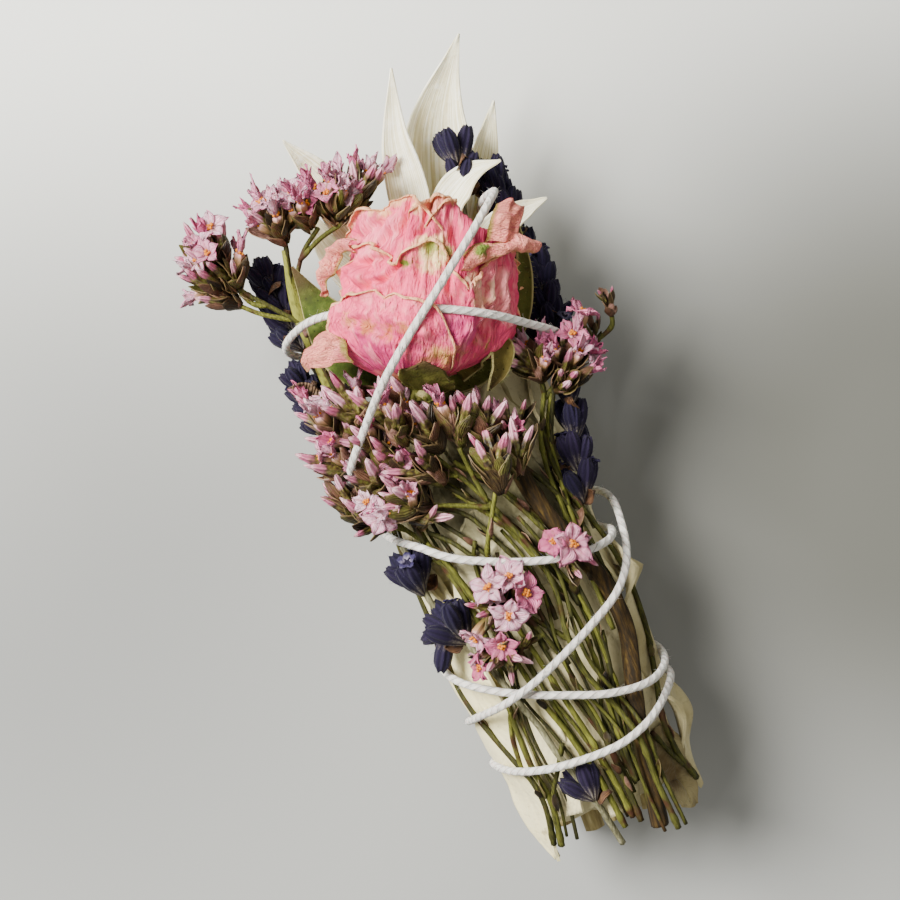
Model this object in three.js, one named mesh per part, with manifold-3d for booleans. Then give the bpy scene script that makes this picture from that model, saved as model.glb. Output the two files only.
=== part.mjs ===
// A sage smudge stick: white sage leaves pressed into a bundle, dressed on its front with a dried rose, pink statice
// and lavender, and tied with one cotton string. It lies on a surface at z = 0, with its flowers towards +Y and its
// front up. All sizes are in millimetres.

import * as THREE from "three";
import { mergeVertices } from "three/addons/utils/BufferGeometryUtils.js";
import Module from "manifold-3d";

const wasm = await Module();
wasm.setup();

// Driving dimensions.
const GAP = 0.3; // air between pieces that touch
const CUT_TOLERANCE = 0.12; // how far a cut edge may move when its slivers are dropped
const LEAF_THICKNESS = 0.7;
const STRING_RADIUS = 0.65;
const STRING_ABOVE_TABLE = 1.1; // height of the string's centre where it runs under the bundle
const STEM_RADIUS = 0.55;
const ROSE_STEM_RADIUS = 1.1;
const CALYX_LENGTH = 6.2; // of a lavender floret
const CALYX_RADIUS = 1.1;
const FLORET_LENGTH = 5.4; // of a statice floret
const FLORET_REACH = 2.3; // from an open floret's middle to a petal's tip
const BUD_RADIUS = 0.85; // of a statice floret that is still closed
const GOLDEN_ANGLE = THREE.MathUtils.degToRad(137.5);

// The pressed bundle's oval section along the stick: y, middle x, half width and half height.
const SECTIONS = [
  [-60, 2.4, 11.6, 11.0],
  [-45, 1.8, 12.6, 11.8],
  [-30, 0.8, 13.2, 12.2],
  [-10, 0.0, 13.8, 12.2],
  [5, -0.2, 13.6, 11.4],
  [20, 0.5, 12.0, 9.0],
  [30, 2.0, 9.5, 7.0],
  [38, 4.0, 6.0, 4.5],
];
const PRESSED_FLAT = 0.8; // how much of the round underside the table has pressed flat
const LIFT_FROM = 12; // y from which the underside rises towards the flowers
const LIFT_RATE = 0.14;

const point = (x, y, z) => new THREE.Vector3(x, y, z);
const radians = THREE.MathUtils.degToRad;

// The section at y, with straight lines between the listed ones.
function sectionAt(y) {
  let row = 0;
  while (row < SECTIONS.length - 2 && y > SECTIONS[row + 1][0]) row += 1;
  const [from, to] = [SECTIONS[row], SECTIONS[row + 1]];
  const share = THREE.MathUtils.clamp((y - from[0]) / (to[0] - from[0]), 0, 1);
  const [middle, halfWidth, halfHeight] = [1, 2, 3].map((k) => from[k] + share * (to[k] - from[k]));
  const height = halfHeight - PRESSED_FLAT + LIFT_RATE * Math.max(0, y - LIFT_FROM);
  return { middle, halfWidth, halfHeight, height };
}

// A point at `lift` above the bundle's surface. `angle` is in degrees, 0 at the front and 90 at +X.
function onBundle(angle, y, lift) {
  const { middle, halfWidth, halfHeight, height } = sectionAt(y);
  const a = radians(angle);
  return point(middle + (halfWidth + lift) * Math.sin(a), y, height + (halfHeight + lift) * Math.cos(a));
}

// A point at `lift` above the bundle's upper side, straight over x and y.
function over(x, y, lift) {
  const { middle, halfWidth } = sectionAt(y);
  const share = THREE.MathUtils.clamp((x - middle) / (halfWidth + lift), -0.97, 0.97);
  return onBundle(THREE.MathUtils.radToDeg(Math.asin(share)), y, lift);
}

// A closed three.js geometry as a solid, with its shared points merged and its empty triangles dropped.
function solidOf(geometry, tolerance = 1e-4) {
  const bare = new THREE.BufferGeometry();
  const plain = geometry.index ? geometry.toNonIndexed() : geometry;
  bare.setAttribute("position", plain.getAttribute("position").clone());
  const merged = mergeVertices(bare, tolerance);
  const index = Array.from(merged.index.array);
  const kept = [];
  for (let i = 0; i < index.length; i += 3) {
    const [a, b, c] = index.slice(i, i + 3);
    if (a !== b && b !== c && a !== c) kept.push(a, b, c);
  }
  const build = (triVerts) =>
    new wasm.Manifold(
      new wasm.Mesh({
        numProp: 3,
        vertProperties: merged.attributes.position.array,
        triVerts: new Uint32Array(triVerts),
      }),
    );
  const made = build(kept);
  if (made.volume() > 0) return made;
  for (let i = 0; i < kept.length; i += 3) [kept[i + 1], kept[i + 2]] = [kept[i + 2], kept[i + 1]];
  return build(kept);
}

function geometryOf(solid) {
  const mesh = solid.getMesh();
  const positions = new Float32Array(mesh.numVert * 3);
  for (let i = 0; i < mesh.numVert; i += 1) {
    positions.set(mesh.vertProperties.subarray(i * mesh.numProp, i * mesh.numProp + 3), i * 3);
  }
  const geometry = new THREE.BufferGeometry();
  geometry.setAttribute("position", new THREE.BufferAttribute(positions, 3));
  geometry.setIndex(new THREE.BufferAttribute(mesh.triVerts, 1));
  geometry.computeVertexNormals();
  return geometry;
}

const joined = (solids) => wasm.Manifold.union(solids);

// A line through its samples, which a rod's rings sit on.
class SampledLine extends THREE.Curve {
  constructor(samples) {
    super();
    this.samples = samples;
  }

  getPoint(t) {
    const place = t * (this.samples.length - 1);
    const k = Math.min(this.samples.length - 2, Math.floor(place));
    return this.samples[k].clone().lerp(this.samples[k + 1], place - k);
  }

  getPointAt(t) {
    return this.getPoint(t);
  }

  getTangentAt(t) {
    const half = 0.5 / (this.samples.length - 1);
    return this.getPoint(Math.min(1, t + half)).sub(this.getPoint(Math.max(0, t - half))).normalize();
  }
}

// A round rod along a smooth curve, with a ring at each of the points and about `step` between rings.
function rod(points, radius, sides = 5, step = 8) {
  const curve = new THREE.CatmullRomCurve3(points, false, "centripetal");
  const samples = [points[0].clone()];
  for (let k = 1; k < points.length; k += 1) {
    const pieces = Math.max(1, Math.round(points[k].distanceTo(points[k - 1]) / step));
    for (let n = 1; n <= pieces; n += 1) samples.push(curve.getPoint((k - 1 + n / pieces) / (points.length - 1)));
  }
  const outline = new THREE.Shape(
    Array.from({ length: sides }, (_, k) => {
      const a = (2 * Math.PI * (k + 0.5)) / sides;
      return new THREE.Vector2(radius * Math.cos(a), radius * Math.sin(a));
    }),
  );
  const extrudePath = new SampledLine(samples);
  return solidOf(
    new THREE.ExtrudeGeometry(outline, { steps: samples.length - 1, extrudePath, bevelEnabled: false }),
  );
}

// A thin blade over a grid of middle points: surface(u, v) gives a point and its outward direction, with u from
// -1 to 1 across and v from 0 to 1 along. Both faces are split into triangles alike.
function blade(surface, thickness, across, along) {
  const layers = [0.5, -0.5].map((side) =>
    Array.from({ length: along + 1 }, (_, j) =>
      Array.from({ length: across + 1 }, (_, i) => {
        const { at, out } = surface((2 * i) / across - 1, j / along);
        return at.clone().addScaledVector(out, side * thickness);
      }),
    ),
  );
  const positions = [];
  const triangle = (...corners) => corners.forEach((p) => positions.push(p.x, p.y, p.z));
  const quad = (a, b, c, d) => {
    triangle(a, b, c);
    triangle(a, c, d);
  };
  const [top, under] = layers;
  for (let j = 0; j < along; j += 1) {
    for (let i = 0; i < across; i += 1) {
      quad(top[j][i], top[j][i + 1], top[j + 1][i + 1], top[j + 1][i]);
      triangle(under[j][i], under[j + 1][i + 1], under[j][i + 1]);
      triangle(under[j][i], under[j + 1][i], under[j + 1][i + 1]);
    }
    quad(top[j][0], top[j + 1][0], under[j + 1][0], under[j][0]);
    quad(top[j][across], under[j][across], under[j + 1][across], top[j + 1][across]);
  }
  for (let i = 0; i < across; i += 1) {
    quad(top[0][i], under[0][i], under[0][i + 1], top[0][i + 1]);
    quad(top[along][i], top[along][i + 1], under[along][i + 1], under[along][i]);
  }
  const geometry = new THREE.BufferGeometry();
  geometry.setAttribute("position", new THREE.Float32BufferAttribute(positions, 3));
  return solidOf(geometry);
}

// A straight line between listed values: share 0 gives the first and 1 the last.
function along(values, share) {
  const place = share * (values.length - 1);
  const k = Math.min(values.length - 2, Math.floor(place));
  return values[k] + (place - k) * (values[k + 1] - values[k]);
}

// A small turned body with its foot at the origin and its axis along +Z, set at `foot` along `direction`.
function turned(profile, sides, foot, direction, grow) {
  const points = profile.map(([r, h], k) => {
    const end = k === 0 ? -grow : k === profile.length - 1 ? grow : 0;
    return new THREE.Vector2(r > 0 ? r + grow : 0, h + end);
  });
  const geometry = new THREE.LatheGeometry(points, sides);
  geometry.rotateX(Math.PI / 2);
  const turn = new THREE.Quaternion().setFromUnitVectors(point(0, 0, 1), direction.clone().normalize());
  geometry.applyQuaternion(turn);
  geometry.translate(foot.x, foot.y, foot.z);
  return solidOf(geometry);
}

// Directions fanned round an axis at the golden angle, from its middle out to `spread` degrees.
function fan(axis, count, spread) {
  const unit = axis.clone().normalize();
  const side = Math.abs(unit.z) < 0.9 ? point(0, 0, 1) : point(1, 0, 0);
  const first = side.clone().cross(unit).normalize();
  const second = unit.clone().cross(first);
  return Array.from({ length: count }, (_, k) => {
    const tilt = radians(spread) * Math.sqrt((k + 0.5) / count);
    const turn = k * GOLDEN_ANGLE;
    return unit
      .clone()
      .multiplyScalar(Math.cos(tilt))
      .addScaledVector(first, Math.sin(tilt) * Math.cos(turn))
      .addScaledVector(second, Math.sin(tilt) * Math.sin(turn));
  });
}

// The string: one length of cotton wound from a knot under the cut end up to the rose and back to the knot. Each entry
// is a point beside the bundle, or a place on it as angle, y and lift; under the bundle a negative lift sinks it.
const beside = (angle, y, lift) => {
  const p = onBundle(angle, y, lift);
  p.z = Math.max(p.z, STRING_ABOVE_TABLE - Math.min(0, lift));
  return p;
};
const KNOT = beside(178, -48.5, -0.8);
const STRING_ROUTE = [
  KNOT,
  beside(-160, -47, 0.2),
  beside(-125, -44.5, 1.2),
  point(-13.4, -42, 14),
  point(-11.0, -42.8, 21),
  point(-6.2, -43.2, 26.6),
  point(-0.8, -43.3, 28.8),
  point(5.5, -42.9, 29.4),
  point(10.2, -41.6, 27.8),
  point(14.4, -39.6, 22.5),
  point(16.8, -37.8, 15),
  beside(118, -36.5, 1.2),
  beside(150, -34, 0.2),
  beside(180, -30, 0.2),
  beside(-155, -27, -1.6),
  beside(-128, -25, 0.6),
  point(-15.8, -24.4, 14),
  point(-14.0, -27.2, 22),
  point(-9.7, -29.6, 26.4),
  point(-4.8, -31.7, 28.6),
  point(1.0, -33.8, 29.4),
  point(6.6, -35.6, 29.0),
  point(12.6, -36.4, 26.2),
  point(16.4, -35.4, 19),
  beside(104, -33.6, 1.8),
  beside(134, -34, -1.2),
  beside(152, -36, -1.6),
  beside(180, -38, -0.6),
  beside(-158, -38, -1.6),
  beside(-126, -36.5, 0.8),
  point(-14.6, -34.6, 15),
  point(-12.8, -33.4, 22),
  point(-8.2, -31.9, 28.8),
  point(-3.4, -30.2, 30.8),
  point(1.8, -28.0, 30.4),
  point(7.9, -25.1, 28.8),
  point(12.6, -22.4, 26.6),
  point(16.0, -18.6, 22.5),
  point(17.4, -13.4, 18.4),
  point(17.4, -9.6, 14),
  beside(118, -7.6, 1.8),
  beside(150, -8, 0.2),
  beside(180, -8, 0.2),
  beside(-155, -7, -1.6),
  beside(-126, -4.6, 0.8),
  point(-16.8, -3.0, 14),
  point(-15.6, -4.4, 21),
  point(-12.4, -6.4, 26.2),
  point(-8.5, -9.3, 28.4),
  point(-2.0, -12.2, 29.6),
  point(5.0, -14.4, 29.6),
  point(10.8, -15.2, 27.6),
  point(14.2, -15.0, 24.6),
  point(15.6, -14.2, 19),
  beside(104, -13, 0.6),
  beside(122, -8.6, -0.6),
  beside(138, 0, -1.2),
  beside(150, 9, -1.6),
  beside(166, 15, -1.6),
  beside(-170, 18, -1.6),
  beside(-130, 22, 1.2),
  point(-16.6, 25.2, 9.5),
  point(-20.9, 27.3, 15.5),
  point(-20.6, 28.6, 22),
  point(-16.2, 29.7, 29),
  point(-11.0, 28.9, 34.6),
  point(-4.4, 27.2, 38.2),
  point(2.2, 24.3, 39.2),
  point(8.4, 21.4, 37.2),
  point(13.4, 18.6, 32),
  point(17.8, 16.0, 25),
  point(18.2, 14.0, 17),
  beside(122, 11.6, 1.6),
  beside(145, 10, 0.2),
  beside(172, 9, 0.2),
  beside(-160, 8, -1.6),
  beside(-130, 7, 0.8),
  point(-17.6, 5.4, 14),
  point(-18.8, 5.2, 22),
  point(-17.6, 7.8, 28.4),
  point(-13.4, 12.6, 32.6),
  point(-8.8, 17.4, 36.8),
  point(-2.8, 22.4, 40.2),
  point(3.3, 27.2, 40.9),
  point(9.5, 32.3, 39.4),
  point(13.8, 36.2, 35.4),
  point(15.6, 38.4, 29),
  point(13.8, 38.4, 21.6),
  point(13.2, 36.2, 14.6),
  point(12.2, 31.6, 8.6),
  beside(146, 24, 0.6),
  beside(172, 18, 0.2),
  beside(-162, 10, 0.2),
  beside(-155, -6, 0.2),
  beside(-155, -27, 0.2),
  beside(-160, -40, 0.2),
  beside(-172, -47, 0),
  KNOT,
];
const string = (grow) =>
  joined([
    rod(STRING_ROUTE.slice(0, -1), STRING_RADIUS + grow, 5, 9),
    rod(STRING_ROUTE.slice(-3), STRING_RADIUS + grow, 5, 9),
    turned([[0, -1.5], [1.2, -0.8], [1.2, 0.8], [0, 1.5]], 6, KNOT, point(1, 0.4, 0), grow),
  ]);

// The pressed bundle: leaves wrapped round each other, so their edges stand as steps round it. The leaves' cut stalks
// stand out of its foot.
const BUNDLE_FOOT = -53;
const BUNDLE_TOP = 38;
const LEAF_EDGES = 8;
const LEAF_STEP = 0.8;
const STALKS = [
  [-6, 6, 1.3, -56.5],
  [-2, 11, 1.5, -57.5],
  [3, 6, 1.2, -55.5],
  [7, 12, 1.4, -57],
  [1, 17, 1.2, -55.8],
];

function bundleSurface(angle, y) {
  const turn = angle / 360 + y * 0.0035 + 0.03 * Math.sin(y * 0.21);
  const step = (((turn * LEAF_EDGES) % 1) + 1) % 1;
  const fromTable = Math.abs(((angle + 360) % 360) - 180);
  const standing = THREE.MathUtils.smoothstep(fromTable, 22, 48) * THREE.MathUtils.smoothstep(fromTable, 0, 30);
  const p = onBundle(angle, y, -LEAF_STEP * standing * step);
  p.z = Math.max(p.z, 0);
  return p;
}

function bundle() {
  const rings = 8;
  const sides = 24;
  const ends = [
    [BUNDLE_FOOT, 0.93, BUNDLE_FOOT + 1.2],
    [BUNDLE_TOP, 0.6, BUNDLE_TOP - 3],
  ];
  const positions = [];
  const ring = (y, shrink, at) =>
    Array.from({ length: sides }, (_, k) => {
      const { middle, height } = sectionAt(at);
      const p = bundleSurface((360 * k) / sides, at);
      return point(middle + (p.x - middle) * shrink, y, height + (p.z - height) * shrink);
    });
  const loops = [ring(ends[0][0], ends[0][1], ends[0][2])];
  for (let j = 0; j <= rings; j += 1) {
    const y = THREE.MathUtils.lerp(ends[0][2], ends[1][2], j / rings);
    loops.push(ring(y, 1, y));
  }
  loops.push(ring(ends[1][0], ends[1][1], ends[1][2]));
  const triangle = (...corners) => corners.forEach((p) => positions.push(p.x, p.y, p.z));
  for (let j = 0; j < loops.length - 1; j += 1) {
    for (let k = 0; k < sides; k += 1) {
      const next = (k + 1) % sides;
      triangle(loops[j][k], loops[j][next], loops[j + 1][next]);
      triangle(loops[j][k], loops[j + 1][next], loops[j + 1][k]);
    }
  }
  [loops[0], loops[loops.length - 1]].forEach((loop, end) => {
    const { middle, height } = sectionAt(loop[0].y);
    const centre = point(middle, loop[0].y, height);
    for (let k = 0; k < sides; k += 1) {
      const next = (k + 1) % sides;
      if (end) triangle(loop[k], loop[next], centre);
      else triangle(loop[next], loop[k], centre);
    }
  });
  const geometry = new THREE.BufferGeometry();
  geometry.setAttribute("position", new THREE.Float32BufferAttribute(positions, 3));
  const stalks = STALKS.map(([x, z, radius, end]) =>
    rod([point(x, BUNDLE_FOOT + 4, z), point(x * 1.03, end, z * 0.97)], radius, 6, 20),
  );
  return joined([solidOf(geometry), ...stalks]);
}

// A sage leaf laid on the bundle: its line as angle and y from root to tip, its half widths along that line, and its
// level, where each level lies over the one below.
function laidLeaf({ line, widths, level }) {
  const lift = GAP + (level + 0.5) * LEAF_THICKNESS + level * GAP;
  return (grow) =>
    blade(
      (u, v) => {
        const y = along(line.map((p) => p[1]), v);
        const { halfWidth } = sectionAt(y);
        const middle = along(line.map((p) => p[0]), v);
        const reach = THREE.MathUtils.radToDeg((along(widths, v) + grow) / (halfWidth + lift));
        const angle = middle + u * reach;
        const at = onBundle(angle, y, lift);
        const out = onBundle(angle, y, lift + 1).sub(at).normalize();
        return { at, out };
      },
      LEAF_THICKNESS + 2 * grow,
      4,
      5,
    );
}
const LAID_LEAVES = [
  { line: [[-64, -12], [-58, -28], [-50, -44], [-44, -58.8]], widths: [1.2, 5.2, 5.6, 5.0, 3.2, 0.8], level: 1 },
  { line: [[-70, 14], [-76, 2], [-78, -12]], widths: [1.5, 4.4, 4.8, 3.6, 1.0], level: 0 },
  { line: [[-34, -52], [-32, -34], [-36, -14]], widths: [2.6, 4.6, 4.8, 3.8, 1.2], level: 0 },
  { line: [[2, -54], [4, -38], [3, -20]], widths: [2.8, 4.4, 4.6, 4.0, 1.6], level: 0 },
  { line: [[-14, -26], [-12, -14], [-11, -4.5]], widths: [2.2, 4.8, 5.4, 4.6, 2.4], level: 1 },
  { line: [[14, -18], [8, -2], [0, 12]], widths: [1.4, 4.6, 5.2, 4.4, 1.4], level: 0 },
  { line: [[40, -52], [42, -34], [40, -16]], widths: [2.4, 4.4, 4.6, 3.6, 1.2], level: 0 },
  { line: [[80, -16], [82, -34], [78, -56]], widths: [1.6, 4.4, 4.6, 4.2, 2.2, 0.9], level: 0 },
  { line: [[70, 16], [66, 0], [70, -12]], widths: [1.4, 4.6, 5.0, 3.6, 1.2], level: 0 },
  { line: [[46, -44], [48, -51], [50, -57.6]], widths: [1.4, 3.4, 3.6, 3.0, 2.2], level: 1 },
];

// A sage leaf that stands out past the rose. Its line runs from root to tip, and `face` is the way its upper side
// looks.
function standingLeaf({ line, widths, face, cup, rows = 6 }) {
  const curve = new THREE.CatmullRomCurve3(line, false, "centripetal");
  const up = point(...face).normalize();
  return (grow) =>
    blade(
      (u, v) => {
        const middle = curve.getPoint(v);
        const side = curve.getTangent(v).cross(up).normalize();
        const out = side.clone().cross(curve.getTangent(v)).normalize();
        const reach = along(widths, v) + grow;
        const at = middle.addScaledVector(side, u * reach).addScaledVector(out, cup * reach * (u * u - 0.4));
        return { at, out };
      },
      LEAF_THICKNESS + 2 * grow,
      4,
      rows,
    );
}
const STANDING_LEAVES = [
  {
    line: [point(5, 30, 17.3), point(8.4, 42, 17.8), point(12.2, 53, 19), point(19.2, 63.2, 22)],
    widths: [1.6, 3.6, 5.0, 5.4, 5.0, 3.4, 1.6, 0.5],
    face: [0.15, -0.2, 1],
    cup: 0.32,
  },
  {
    line: [point(2, 31, 18.6), point(4.0, 42, 21.2), point(5.2, 52, 22.8), point(7.9, 61.2, 24.6)],
    widths: [1.2, 2.2, 2.9, 3.1, 2.7, 1.8, 0.9, 0.4],
    face: [-0.35, -0.1, 1],
    cup: 0.45,
  },
  {
    line: [point(8, 30, 15.4), point(13.5, 40, 14.6), point(17.4, 46.5, 15), point(21.2, 53, 17)],
    widths: [1.4, 2.6, 3.4, 3.3, 2.4, 1.3, 0.4],
    face: [0.5, -0.2, 1],
    cup: 0.3,
  },
  {
    line: [point(6.6, 36, 21.4), point(9.6, 40.4, 22.4), point(13.6, 42.6, 23.4), point(18.4, 43, 24.6)],
    widths: [1.4, 2.4, 2.9, 2.5, 1.5, 0.4],
    face: [0.1, 0.5, 1],
    cup: 0.4,
  },
  {
    line: [point(9.5, 31.5, 19), point(13, 33.4, 20.8), point(17, 34.8, 21.6), point(23.2, 35.7, 22)],
    widths: [1.2, 2.1, 2.3, 1.5, 0.4],
    face: [0.2, 0.1, 1],
    cup: 0.3,
  },
  {
    line: [point(-1, 32, 16.6), point(-5, 42, 18), point(-7.6, 50.4, 20.4), point(-10.8, 57, 23)],
    widths: [1.2, 2.2, 2.6, 2.2, 1.2, 0.4],
    face: [-0.3, 0, 1],
    cup: 0.35,
  },
  {
    line: [point(-1, 27, 14.8), point(-6, 35, 14.2), point(-9.6, 41, 14.4), point(-11.6, 47.4, 15.6)],
    widths: [1.6, 3.4, 4.2, 4.0, 3.0, 1.6, 0.6],
    face: [-0.2, 0.1, 1],
    cup: 0.3,
  },
];

// The rose lies on its side, stem down the stick. Its place is its foot, and its own directions are its axis, its
// front towards +Z and its right side.
const ROSE_FOOT = point(-3.0, 15.2, 28.6);
const ROSE_AXIS = point(0.42, 0.9, 0.02).normalize();
const ROSE_FRONT = point(0, 0, 1).addScaledVector(ROSE_AXIS, -ROSE_AXIS.z).normalize();
const ROSE_RIGHT = ROSE_AXIS.clone().cross(ROSE_FRONT);
const ROSE_FLAT = 0.76; // its depth over its width, where the string presses it

const inRose = (turn, radius, height) =>
  ROSE_FOOT.clone()
    .addScaledVector(ROSE_AXIS, height)
    .addScaledVector(ROSE_FRONT, ROSE_FLAT * radius * Math.cos(turn))
    .addScaledVector(ROSE_RIGHT, radius * Math.sin(turn));

// A petal: `turn` and `half` in degrees place its middle and half width round the rose, `belly` is its widest
// radius, `reach` its height, `roll` how far its lip turns outward, and one edge lies `lap` inside the next petal.
function petal({ turn, half, belly, reach, roll, lap = 0.9 }) {
  const radii = [0.12, 0.5, 0.84, 1, 0.99, 0.92];
  return (grow) =>
    blade(
      (u, v) => {
        const opened = 0.35 + 0.65 * Math.sin(Math.min(1, v * 1.5) * (Math.PI / 2));
        const tipRound = 1 - 0.3 * v ** 4;
        const around = radians(turn + u * (half + grow * 4) * opened * tipRound);
        const wave = 0.35 * Math.sin(3.1 * u + turn) * v;
        const lip = roll * Math.max(0, v - 0.72) ** 1.5 * 6;
        const at = (h) => inRose(around, belly * along(radii, v) - lap * u * v + wave + lip, h);
        const height = 1.5 + (reach - 1.5) * (0.15 * Math.min(1, v * 4) + 0.85 * v) - 1.6 * u * u * v - lip * 0.8;
        const middle = at(height);
        const out = inRose(around, belly + 1, height).sub(inRose(around, belly, height)).normalize();
        return { at: middle, out };
      },
      LEAF_THICKNESS + 2 * grow,
      4,
      4,
    );
}
const PETALS = [
  { turn: 0, half: 66, belly: 13.2, reach: 13, roll: 0.8 },
  { turn: 118, half: 60, belly: 13.2, reach: 21, roll: 1.4 },
  { turn: -112, half: 60, belly: 13.2, reach: 19, roll: 1.8 },
  { turn: -28, half: 58, belly: 11.4, reach: 20.5, roll: 1.0 },
  { turn: 62, half: 56, belly: 11.4, reach: 24, roll: 1.2 },
  { turn: 180, half: 62, belly: 11.4, reach: 24, roll: 0.6 },
  { turn: -100, half: 56, belly: 9.4, reach: 26, roll: 0.3 },
  { turn: 20, half: 56, belly: 9.4, reach: 27, roll: 0.4 },
  { turn: 140, half: 56, belly: 9.4, reach: 25.5, roll: 0.3 },
];

// The lips of three outer petals, folded back from the bloom. Each runs from its fold to its free edge.
const FOLDS = [
  {
    line: [point(-5.2, 20.8, 33), point(-8.8, 22.4, 33.6), point(-12.9, 25.4, 30.4)],
    widths: [2.4, 2.6, 2.2, 1.0],
    face: [-0.3, -0.5, 1],
    cup: 0.35,
  },
  {
    line: [point(-5.6, 33.5, 31.6), point(-9.4, 34.6, 32.6), point(-11.4, 35.4, 29.2)],
    widths: [3.0, 3.4, 3.2, 2.4],
    face: [-0.7, 0.2, 0.8],
    cup: 0.25,
  },
  {
    line: [point(10.0, 31.0, 33.6), point(13.6, 32.4, 35), point(16.6, 34.4, 33)],
    widths: [3.2, 3.8, 3.4, 2.0],
    face: [0.3, -0.2, 1],
    cup: 0.3,
  },
];
const rose = (grow) => {
  const heart = [[0, 0.5], [5, 3], [8.9, 9], [8.8, 17], [6.6, 22.5], [0, 24.5]];
  const core = new THREE.LatheGeometry(
    heart.map(([r, h]) => new THREE.Vector2(r > 0 ? r + grow : 0, h)),
    7,
  );
  const spots = core.getAttribute("position");
  for (let k = 0; k < spots.count; k += 1) {
    const radius = Math.hypot(spots.getX(k), spots.getZ(k));
    const p = inRose(Math.atan2(spots.getX(k), spots.getZ(k)), radius, spots.getY(k));
    spots.setXYZ(k, p.x, p.y, p.z);
  }
  return joined([
    solidOf(core),
    ...PETALS.map((one) => petal(one)(grow)),
    ...FOLDS.map((one) => standingLeaf({ ...one, rows: 3 })(grow)),
  ]);
};

const ROSE_STEM_LIFT = 3.4;

// The rose's green cup with its five sepals, on its woody stem, which runs down the stick to the cut end.
const ROSE_STEM_ROUTE = [
  inRose(0, 0, -0.6),
  point(-0.9, 12.4, 28.0),
  point(2.2, 8.6, 26.6),
  over(4.7, 3, ROSE_STEM_LIFT),
  over(5.8, -4, ROSE_STEM_LIFT),
  over(9.0, -14, ROSE_STEM_LIFT),
  over(11.6, -21, ROSE_STEM_LIFT),
  over(12.4, -28, ROSE_STEM_LIFT),
  over(11.0, -34.4, ROSE_STEM_LIFT),
  over(9.2, -41.5, ROSE_STEM_LIFT),
  over(8.2, -48.8, ROSE_STEM_LIFT),
  over(7.0, -57.2, ROSE_STEM_LIFT),
];
const SEPALS = [
  { turn: -70, reach: 15, flare: 15.2, half: 17 },
  { turn: 8, reach: 5, flare: 10.2, half: 22 },
  { turn: 62, reach: 4.2, flare: 15.4, half: 14 },
  { turn: 135, reach: 13, flare: 15.2, half: 16 },
  { turn: 205, reach: 12, flare: 15.0, half: 16 },
];
const roseStem = (grow) => {
  const cup = [[0, -3.4], [1.9, -3.2], [3.4, -1.2], [2.6, 0.1], [0, 0.3]];
  const foot = inRose(0, 0, 0);
  const sepals = SEPALS.map(({ turn, reach, flare, half }) =>
    blade(
      (u, v) => {
        const width = along([0.5, 1, 1, 0.72, 0.12], v);
        const around = radians(turn + u * half * width);
        const radius = along([2.4, 7, 11, 14, flare + 0.4], v) * (flare / 15);
        const height = along([-0.6, -0.9, 1.2, reach * 0.6, reach], v) - 0.5 * v;
        const at = inRose(around, radius, height);
        const out = inRose(around, radius + 1, height - 0.8).sub(at).normalize();
        return { at, out };
      },
      LEAF_THICKNESS + 2 * grow,
      2,
      5,
    ),
  );
  return joined([
    turned(cup, 8, foot, ROSE_AXIS, grow),
    rod(ROSE_STEM_ROUTE, ROSE_STEM_RADIUS + grow, 7, 7),
    ...sepals,
  ]);
};

// A statice floret: a thin papery cup that opens into five petals. A bud is the same cup, still closed.
function floret(foot, direction, open, size, grow) {
  const [reach, length] = [FLORET_REACH * size, FLORET_LENGTH * size];
  const profile = open
    ? [[0, 0], [reach, length + grow / 2], [0, length * 0.72]]
    : [[0, 0], [BUD_RADIUS * size, length * 0.6], [0, length]];
  return turned(profile, open ? 5 : 4, foot, direction, grow);
}

// The small swelling a stem or a floret grows from.
const knuckle = (at, axis, grow) => turned([[0, -1], [0.95, 0], [0, 1]], 4, at, axis, grow);

// A head of florets fanned round `axis` from `at`. Every `openEach`-th one is open, and 0 leaves all in bud.
function head({ at, axis, count, spread, openEach = 3, size = 1 }, grow) {
  const florets = fan(axis, count, spread).map((direction, k) =>
    floret(at.clone().addScaledVector(direction, 0.2), direction, openEach > 0 && k % openEach === 0, size, grow),
  );
  return [knuckle(at, axis, grow), ...florets];
}

// A statice spray: its stems, each a line of points, and its heads.
function spray({ stems, heads }) {
  return (grow) =>
    joined([
      ...stems.map((line) => rod(line, STEM_RADIUS + grow, 4, 8)),
      ...stems.slice(1).map(([root, next]) => knuckle(root, next.clone().sub(root), grow)),
      ...heads.flatMap((one) => head(one, grow)),
    ]);
}
const LOW = 2.8; // lift of a stem that lies on the leaves
const HIGH = 4.4; // lift of one that lies over another stem
const TOP = 6.2; // lift of one that lies over the rose's stem
const onLeaves = (lift, ...places) => places.map(([x, y]) => over(x, y, lift));

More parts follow.
